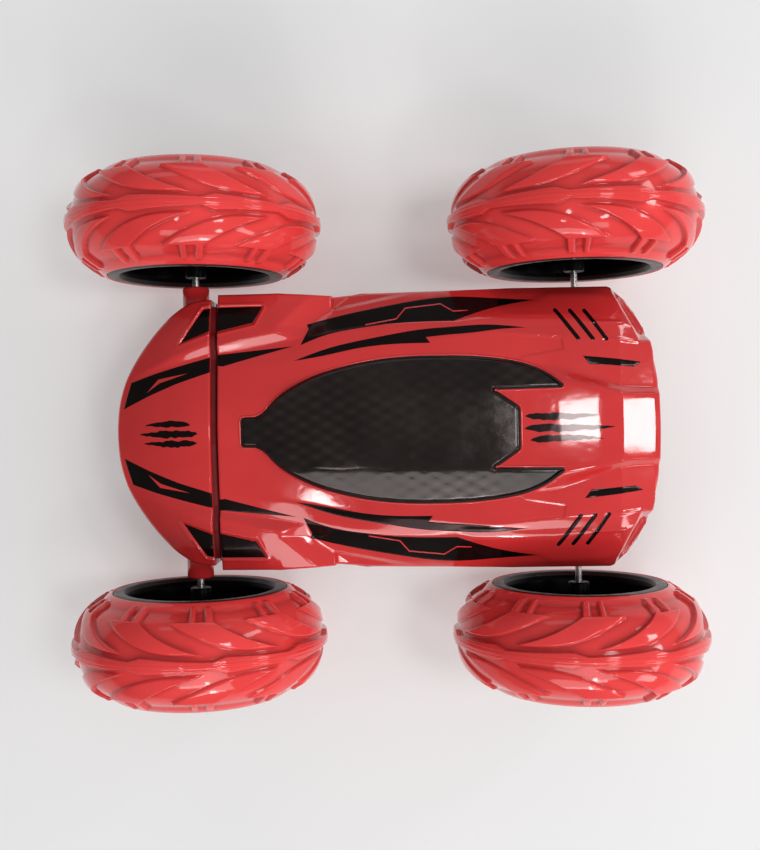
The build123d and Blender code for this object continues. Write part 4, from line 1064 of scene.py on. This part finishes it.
# ================================================================= thin pieces laid over a surface
def plan_mesh(outline, cell=0.6, rings=()):
    """Flat mesh of an outline: close rings along the edge, then a grid."""
    bm = bmesh.new()
    face = bm.faces.new([bm.verts.new((x, y, 0)) for x, y in outline])
    for t in rings:
        bmesh.ops.inset_region(bm, faces=[face], thickness=t, use_even_offset=True, use_boundary=True)
    xs = [p[0] for p in outline]
    ys = [p[1] for p in outline]
    for lo, hi, no in ((min(xs), max(xs), (1, 0, 0)), (min(ys), max(ys), (0, 1, 0))):
        k = math.floor(lo / cell) + 1
        while k * cell < hi:
            at = (k * cell + 0.013, 0, 0) if no[0] else (0, k * cell + 0.017, 0)
            bmesh.ops.bisect_plane(bm, geom=bm.verts[:] + bm.edges[:] + bm.faces[:], dist=1e-5, plane_co=at, plane_no=no)
            k += 1
    bm.verts.index_update()
    pts = np.array([v.co[:2] for v in bm.verts])
    faces = [[v.index for v in f.verts] for f in bm.faces]
    rim = []
    for e in bm.edges:
        if len(e.link_loops) == 1:
            lp = e.link_loops[0]
            rim.append((lp.vert.index, lp.link_loop_next.vert.index))
    bm.free()
    return pts, faces, rim


def slab(plan, outline, surface, lift, soft=0.0, soft_r=0.3, sink=0.45, floor=None):
    """Closed piece that follows a surface. Returns verts (mm) and faces."""
    pts, faces, rim = plan
    z = surface(pts[:, 0], pts[:, 1]) + lift
    if soft:
        d = poly_dist(pts[:, 0], pts[:, 1], outline)
        z = z - soft * (1 - np.sqrt(np.clip(1 - (1 - np.clip(d / soft_r, 0, 1)) ** 2, 0, 1)))
    top = np.stack([pts[:, 0], pts[:, 1], AX + z], -1)
    if floor is None:
        low = top.copy()
        low[:, 2] -= sink + lift
    else:
        low = top.copy()
        low[:, 2] = AX + floor
    n = len(pts)
    if floor is None:
        all_faces = [list(f) for f in faces] + [[i + n for i in f[::-1]] for f in faces]
        all_faces += [[b, a, a + n, b + n] for a, b in rim]
        return np.concatenate([top, low]), all_faces
    # flat underside as one face
    nxt = dict(rim)
    start = rim[0][0]
    loop = [start]
    while nxt[loop[-1]] != start:
        loop.append(nxt[loop[-1]])
    m = len(loop)
    V = np.concatenate([top, low[loop]])
    all_faces = [list(f) for f in faces]
    all_faces += [[loop[(i + 1) % m], loop[i], n + i, n + (i + 1) % m] for i in range(m)]
    all_faces.append([n + i for i in range(m)][::-1])
    return V, all_faces


def mirror_y(V, faces):
    V = V.copy()
    V[:, 1] *= -1
    return V, [f[::-1] for f in faces]


def join(parts):
    V, F, n = [], [], 0
    for v, f in parts:
        V.append(v)
        F += [[i + n for i in g] for g in f]
        n += len(v)
    return np.concatenate(V), F


def face_object(name, V, F, material, sharp=40):
    by = {}
    for f in F:
        by.setdefault(len(f), []).append(f)
    ob = mesh_object(name, V, quads=by.pop(4, None), tris=by.pop(3, None), ngons=[g for k in by.values() for g in k],
                     material=material, sharp=sharp)
    return ob


def laid(name, outlines, surface, lift, body, material, both=True, soft=0.08, rings=(0.12, 0.16), cell=0.6, halves="both",
         sink=0.45):
    """Decal or panel on the upper half, its mirror image across the car, and the same on the underside."""
    parts = []
    for outline in outlines:
        one = slab(plan_mesh(outline, cell, rings), outline, surface, lift, soft=soft, soft_r=0.28, sink=sink)
        parts.append(one)
        if both:
            parts.append(mirror_y(*one))
    V, F = join(parts)
    made = []
    if halves in ("both", "upper"):
        made.append(put(face_object(name + "_upper", V, F, material), body))
    if halves in ("both", "lower"):
        made.append(put(face_object(name + "_lower", mirror_z(V), [f[::-1] for f in F], material), body))
    return made


def capsule(a, b, w, n=5):
    """Slim bar with round ends."""
    ang = math.atan2(b[1] - a[1], b[0] - a[0])
    pts = []
    for c, start in ((b, ang - math.pi / 2), (a, ang + math.pi / 2)):
        for i in range(n + 1):
            t = start + math.pi * i / n
            pts.append((c[0] + w / 2 * math.cos(t), c[1] + w / 2 * math.sin(t)))
    return pts


def ribbon(pts, w):
    """Closed outline round an open line of even width."""
    p = np.array(pts, float)
    left, right = [], []
    for i in range(len(p)):
        d0 = p[min(i + 1, len(p) - 1)] - p[max(i - 1, 0)]
        if 0 < i < len(p) - 1:
            u = (p[i] - p[i - 1]) / np.linalg.norm(p[i] - p[i - 1])
            v = (p[i + 1] - p[i]) / np.linalg.norm(p[i + 1] - p[i])
            d0 = u + v
            k = 1 / max(math.sqrt((1 + float(u @ v)) / 2), 0.5)
        else:
            k = 1.0
        d0 = d0 / np.linalg.norm(d0)
        nrm = np.array([-d0[1], d0[0]]) * w / 2 * k
        left.append(tuple(p[i] + nrm))
        right.append(tuple(p[i] - nrm))
    return left + right[::-1]


def stroke(x0, x1, yc, wide, seed, bend=0.0):
    """Tapering claw mark along X with slightly uneven edges."""
    rng = np.random.RandomState(seed)
    n = 34
    t = np.linspace(0, 1, n)
    k = np.array([0.25, 0.5, 0.25])
    body = np.clip(t / 0.14, 0, 1) ** 0.7 * np.clip((1 - t) / 0.45, 0, 1) ** 0.75
    ragged = [np.convolve(np.pad(rng.uniform(-1, 1, n), 1, "edge"), k, "valid") for _ in range(3)]
    up = body * (1 + 0.34 * ragged[0]) * wide / 2 + 0.02
    dn = body * (1 + 0.34 * ragged[1]) * wide / 2 + 0.02
    x = x0 + (x1 - x0) * t
    y = yc + bend * np.sin(t * math.pi) + 0.09 * wide * ragged[2]
    pts = [(float(a), float(b)) for a, b in zip(x, y + up)] + [(float(a), float(b)) for a, b in zip(x[::-1], (y - dn)[::-1])]
    return pts


# ---------------------------------------------------------------- black panels and marks
GAP = 72.0 - 0.02
SWOOSH_WIDE = ([(33.6, 45.7), (32.8, 43.6), (36.2, 36.7)]
               + smooth_line([(36.2, 36.7), (24.7, 41.0), (12.4, 43.3), (0.1, 44.9), (-12.2, 45.7), (-29.2, 45.9)], 4)[1:]
               + smooth_line([(-29.2, 45.9), (-39.6, 49.7), (-52.1, 52.9), (-64.4, 54.8)], 4)[1:]
               + smooth_line([(-64.4, 54.8), (-44.2, 56.4), (-31.9, 57.3), (-19.6, 56.8), (-4.2, 54.3), (8.2, 51.9),
                              (20.7, 49.1), (33.6, 45.7)], 4)[1:-1])
SWOOSH_THIN = (smooth_line([(39.1, 29.9), (23.5, 35.3), (12.4, 37.8), (-1.9, 40.4), (-14.7, 42.4), (-29, 43.4), (-41.2, 44),
                            (-59.2, 42.4)], 4)
               + smooth_line([(-59.2, 42.4), (-47.2, 41.8), (-38.2, 40.7), (-26.8, 39.9), (-17.0, 39.0)], 4)[1:]
               + [(-18.8, 36.5)] + smooth_line([(-18.8, 36.5), (0.2, 36.1), (14.5, 34.3), (24.7, 32.2), (39.1, 29.9)], 4)[1:-1])
WEDGE = [(71.9, 33.2), (39.3, 36.3), (56.0, 31.9), (69.6, 28.2), (71.9, 28.5)]
WINDOW_GLASS = [(71.9, 53.7), (53.0, 53.7), (52.8, 53.2), (56.5, 46.7), (71.9, 43.1)]
laid("panel_flash", [SWOOSH_WIDE, SWOOSH_THIN, WEDGE], main_z, 0.10, "chassis", BLACK_GLOSS)
laid("panel_lamp", [WINDOW_GLASS], main_z, 0.12, "chassis", BLACK_GLOSS, soft=0.12)
SLASHES = [capsule(a, b, 1.75) for a, b in (((-72.2, 49.8), (-81.2, 37.4)), ((-78.5, 49.6), (-87.4, 37.2)),
                                             ((-84.7, 49.5), (-93.3, 37.1)))]
DASH = [(-83.0, 30.0), (-96.0, 28.8), (-109.0, 27.4), (-105.6, 25.3), (-85.7, 26.4)]
laid("mark_rear", SLASHES + [DASH], main_z, 0.09, "chassis", BLACK_GLOSS, soft=0.06, rings=(0.12,))
CLAWS = [stroke(-57.6, -89.0, -5.0, 2.8, 11, 0.4), stroke(-57.2, -95.5, 0.1, 3.0, 12), stroke(-59.6, -90.5, 4.9, 2.7, 13, -0.5)]
laid("mark_deck", CLAWS, main_z, 0.09, "chassis", CLAW_INK, both=False, soft=0.0, rings=())
NOSE_CLAWS = [stroke(83.8, 104.6, -3.5, 2.4, 21, -0.5), stroke(80.6, 107.4, 0.3, 3.0, 22), stroke(80.9, 105.4, 4.2, 2.6, 23, 0.4)]
laid("mark_nose", NOSE_CLAWS, nose_z, 0.09, "nose", BLACK_GLOSS, both=False, soft=0.0, rings=())
NOSE_WEDGE = [(115.6, 10.8), (113.9, 16.6), (112.0, 22.4), (100.0, 25.9), (88.0, 29.0), (75.25, 32.2), (75.25, 25.8), (90.0, 21.2),
              (103.0, 16.2)]
NOSE_GLASS = [(88.2, 38.6), (78.2, 53.0), (75.25, 53.5), (75.25, 43.4)]
NOSE_SLIVER = [(103.8, 17.7), (98.4, 23.4), (84.9, 25.6), (97.9, 21.7)]
laid("panel_nose", [NOSE_WEDGE], nose_z, 0.10, "nose", BLACK_GLOSS)
laid("panel_nose_lamp", [NOSE_GLASS], nose_z, 0.12, "nose", BLACK_GLOSS, soft=0.12)
laid("trim_nose", [NOSE_SLIVER], nose_z, 0.20, "nose", RED_BODY, rings=())
CIRCUIT = ribbon([(8.5, 44.9), (-4.7, 47.3), (-8.7, 52.3), (-23.8, 54.0), (-29.1, 50.5), (-35.5, 50.7)], 0.55)
laid("trim_flash", [CIRCUIT], main_z, 0.18, "chassis", RED_BODY, rings=())

# ================================================================= canopy and battery door
def canopy_z(x, y):
    x = np.asarray(x, float)
    y = np.abs(np.asarray(y, float))
    c = lin(x, [-76, -55, -45, -30, -10, 10, 30, 40, 48, 55, 62], [27.6, 28.6, 28.95, 29.2, 29.3, 28.9, 27.7, 26.6, 25.3, 24.2, 23.6])
    s = lin(x, [-76, -60, -45, -20, 0, 20, 40, 62], [27.4, 28.4, 28.8, 29.0, 28.9, 28.0, 26.4, 24.6]) - 0.345 * (y - 16.5)
    z = smin(c - 0.0010 * y * y, s, 0.35)
    # quilted lozenges, 10 mm by 5.4 mm
    u = x / 10.0 + y / 5.4
    v = x / 10.0 - y / 5.4
    q = np.cos(2 * math.pi * u) * 0.5 + np.cos(2 * math.pi * v) * 0.5
    fade = step01((40 - x) / 12) * step01((x + 72) / 8)
    patch = 0.5 + 0.5 * np.sin(0.09 * x + 0.8) * np.cos(0.11 * np.abs(y) + 0.3 * np.sin(0.05 * x))
    near = 1 - np.exp(-((y - 16.5) / 2.0) ** 2)
    return z + (0.012 + 0.034 * step01((y - 16.0) / 2.5)) * (0.3 + 0.7 * patch) * q * fade * near


plan = plan_mesh(CANOPY_OUT, 0.42, (0.05, 0.08, 0.12, 0.20))
can_v, can_f = slab(plan, CANOPY_OUT, canopy_z, 0.0, soft=1.15, soft_r=1.45, floor=21.0)
put(face_object("canopy_dome", can_v, can_f, CANOPY_MAT, sharp=60), "chassis", ["canopy"])


def door_well(V, F, cx, cy, r, floor_z, top):
    """Round well in a mesh of mixed faces."""
    V = V.copy()
    cen = np.array([V[f].mean(0) for f in F])
    size = np.array([len(f) for f in F])
    inside = (np.hypot(cen[:, 0] - cx, cen[:, 1] - cy) < r) & (size < 12)
    gone = [f for f, k in zip(F, inside) if k]
    keep = [f for f, k in zip(F, inside) if not k]
    edges = {}
    for f in gone:
        for i in range(len(f)):
            edges[(f[i], f[(i + 1) % len(f)])] = True
    nxt = {a: b for (a, b) in edges if (b, a) not in edges}
    start = next(iter(nxt))
    loop = [start]
    while nxt[loop[-1]] != start:
        loop.append(nxt[loop[-1]])
    p = V[loop]
    dx, dy = p[:, 0] - cx, p[:, 1] - cy
    rr = np.hypot(dx, dy)
    nx, ny = cx + dx / rr * r, cy + dy / rr * r
    V[loop, 0], V[loop, 1], V[loop, 2] = nx, ny, AX + top(nx, ny)
    n0, n = len(V), len(loop)
    V = np.concatenate([V, np.stack([nx, ny, V[loop, 2] - 0.5], -1), np.stack([nx, ny, np.full(n, AX + floor_z)], -1)])
    for a0, b0 in ((None, n0), (n0, n0 + n)):
        for i in range(n):
            j = (i + 1) % n
            a, b = (loop[i], loop[j]) if a0 is None else (a0 + i, a0 + j)
            keep.append([a, b, b0 + j, b0 + i])
    keep.append([n0 + n + i for i in range(n)])
    return V, keep


door_v, door_f = door_well(can_v, can_f, -51.0, 0.0, 2.5, 25.35, canopy_z)
put(face_object("battery_door_dome", mirror_z(door_v), [f[::-1] for f in door_f], CANOPY_MAT, sharp=60), "chassis",
    ["battery_door"])


def edge_normals(outline, step):
    """Points along an outline with outward normals; sharp outer corners get a fan of normals."""
    p = np.array(outline, float)
    n = len(p)
    area = 0.5 * np.sum(p[:, 0] * np.roll(p[:, 1], -1) - np.roll(p[:, 0], -1) * p[:, 1])
    sg = 1 if area > 0 else -1
    pts, nrm = [], []
    for i in range(n):
        a, b, c = p[i - 1], p[i], p[(i + 1) % n]
        u, v = (b - a) / np.linalg.norm(b - a), (c - b) / np.linalg.norm(c - b)
        nu, nv = np.array([u[1], -u[0]]) * sg, np.array([v[1], -v[0]]) * sg
        bend = math.atan2(u[0] * v[1] - u[1] * v[0], float(u @ v)) * sg
        if bend > 0.35:
            k = int(bend / 0.3) + 1
            base = math.atan2(nu[1], nu[0])
            for j in range(k + 1):
                t = base + sg * bend * j / k
                pts.append(b)
                nrm.append(np.array([math.cos(t), math.sin(t)]))
        else:
            m = nu + nv
            m /= np.linalg.norm(m)
            pts.append(b)
            nrm.append(m / max(float(m @ nv), 0.55))
        k = max(1, int(np.linalg.norm(c - b) / step))
        for j in range(1, k):
            pts.append(b + (c - b) * j / k)
            nrm.append(nv)
    return np.array(pts), np.array(nrm)


def bead(name, outline, d0, d1, lift, sink, surface, material, body, step=0.8, n=6):
    """Round bead that follows an outline at a distance, upper and lower."""
    loop, out = edge_normals(outline, step)
    rows = []
    for i in range(n + 1):
        d = d0 + (d1 - d0) * i / n
        h = lift * math.sin(math.pi * i / n) ** 0.6 if 0 < i < n else 0.0
        q = loop + out * d
        rows.append(np.stack([q[:, 0], q[:, 1], AX + surface(q[:, 0], q[:, 1]) + h - 0.02], -1))
    for d in (d1, d0):
        q = loop + out * d
        rows.append(np.stack([q[:, 0], q[:, 1], AX + surface(q[:, 0], q[:, 1]) - sink], -1))
    V = np.stack(rows, 1).reshape(-1, 3)
    q = grid_quads(len(loop), len(rows), wrap_u=True, wrap_v=True)
    for tag, vv, ff in (("_upper", V, q), ("_lower", mirror_z(V), q[:, ::-1])):
        ob = mesh_object(name + tag, vv, quads=ff, material=material)
        bm = bmesh.new()
        bm.from_mesh(ob.data)
        bmesh.ops.recalc_face_normals(bm, faces=bm.faces)
        bm.to_mesh(ob.data)
        bm.free()
        put(ob, body)


def flat_main(x, y):
    return main_z(x, y, edge=False, seat=False)


# painted shade: a black strip along the foot of the canopy stands for the shadow in the gap
bead("canopy_gap_shade", CANOPY_OUT, -0.35, 0.60, -0.20, 0.9, flat_main, GAP_SHADE_BLACK, "chassis", n=2)
bead("canopy_rim", CANOPY_OUT, 0.50, 1.35, 0.34, 0.5, flat_main, RED_BODY, "chassis")

# ================================================================= groove tongue, bearing tubes, bumper
phi = np.arange(360) * 2 * math.pi / 360
ty_ = np.linspace(0, 54.6, 200)
tz_ = nose_z(np.full(200, 76.4), ty_, edge=False) - 3.5
t_ang = np.arctan2(np.maximum(tz_, 0), ty_)
t_rad = np.hypot(ty_, tz_)
side_ang = math.atan2(float(tz_[-1]), 54.6)
fold = np.abs(np.arctan2(np.abs(np.sin(phi)), np.abs(np.cos(phi))))
order = np.argsort(t_ang)
t_out = np.where(fold < side_ang, 54.6 / np.cos(fold), np.interp(fold, t_ang[order], t_rad[order]))
rows = []
for x, r in ((72.85, None), (72.85, -0.7), (73.05, -0.25), (73.4, 0.0), (76.4, 0.0), (76.4, None)):
    rad = np.full(360, 9.3) if r is None else t_out + r
    rows.append(np.stack([np.full(360, x), rad * np.cos(phi), AX + rad * np.sin(phi)], -1))
V = np.stack(rows, 1).reshape(-1, 3)
# the tongue takes the darkened red, painted shade for the depth of the groove
tongue = mesh_object("groove_tongue", V, quads=grid_quads(360, len(rows), wrap_u=True, wrap_v=True, flip=True),
                     material=RED_GROOVE_SHADE, sharp=35)
put(tongue, "nose")

for tag, side in (("l", 1), ("r", -1)):
    put(lathe("axle_tube_" + tag, [(48.0, 5.85), (63.3, 5.85), (63.9, 5.65), (64.35, 5.2), (64.5, 4.6), (64.5, 2.6), (64.2, 2.3),
                                    (63.4, 2.2), (63.4, 1.6), (48.0, 1.6)], (BASE_X, 0, AX), RED_BODY, n=96, side=side, sharp=50),
        "nose")
    put(lathe("axle_collar_" + tag, [(58.0, 4.3), (60.9, 4.3), (61.15, 4.1), (61.25, 3.6), (61.25, 2.4), (61.1, 2.1), (60.6, 2.0),
                                      (60.6, 1.6), (58.0, 1.6)], (-BASE_X, 0, AX), RED_BODY, n=72, side=side, sharp=50),
        "chassis")

bm = bmesh.new()
bump_pts = [(-116.6, -15.9), (-118.9, -15.9), (-119.6, -15.2), (-119.85, -12.0), (-119.9, 0.0), (-119.85, 12.0), (-119.6, 15.2),
            (-118.9, 15.9), (-116.6, 15.9)]
lo_face = bm.faces.new([bm.verts.new((x, y, AX - 4.6)) for x, y in bump_pts])
ext = bmesh.ops.extrude_face_region(bm, geom=[lo_face])
bmesh.ops.translate(bm, verts=[v for v in ext["geom"] if isinstance(v, bmesh.types.BMVert)], vec=(0, 0, 9.2))
bmesh.ops.recalc_face_normals(bm, faces=bm.faces)
bmesh.ops.bevel(bm, geom=bm.edges[:], offset=0.55, segments=3, profile=0.5, affect="EDGES", clamp_overlap=True)
# a shallow channel along the middle of the bumper
bmesh.ops.bisect_plane(bm, geom=bm.verts[:] + bm.edges[:] + bm.faces[:], plane_co=(0, 0, AX + 0.5), plane_no=(0, 0, 1))
bmesh.ops.bisect_plane(bm, geom=bm.verts[:] + bm.edges[:] + bm.faces[:], plane_co=(0, 0, AX - 0.5), plane_no=(0, 0, 1))
bmesh.ops.bisect_plane(bm, geom=bm.verts[:] + bm.edges[:] + bm.faces[:], plane_co=(0, 0, AX), plane_no=(0, 0, 1))
for v in bm.verts:
    if abs(v.co.z - AX) < 0.1:
        v.co.x += 0.35 if v.co.x < -118.2 else 0
me = bpy.data.meshes.new("rear_bumper")
bmesh.ops.scale(bm, vec=(MM, MM, MM), verts=bm.verts)
bm.to_mesh(me)
bm.free()
me.polygons.foreach_set("use_smooth", np.ones(len(me.polygons), bool))
me.set_sharp_from_angle(angle=math.radians(40))
me.materials.append(RED_BODY)
bumper = bpy.data.objects.new("rear_bumper", me)
bpy.context.scene.collection.objects.link(bumper)
put(bumper, "chassis")


bpy.context.view_layer.update()
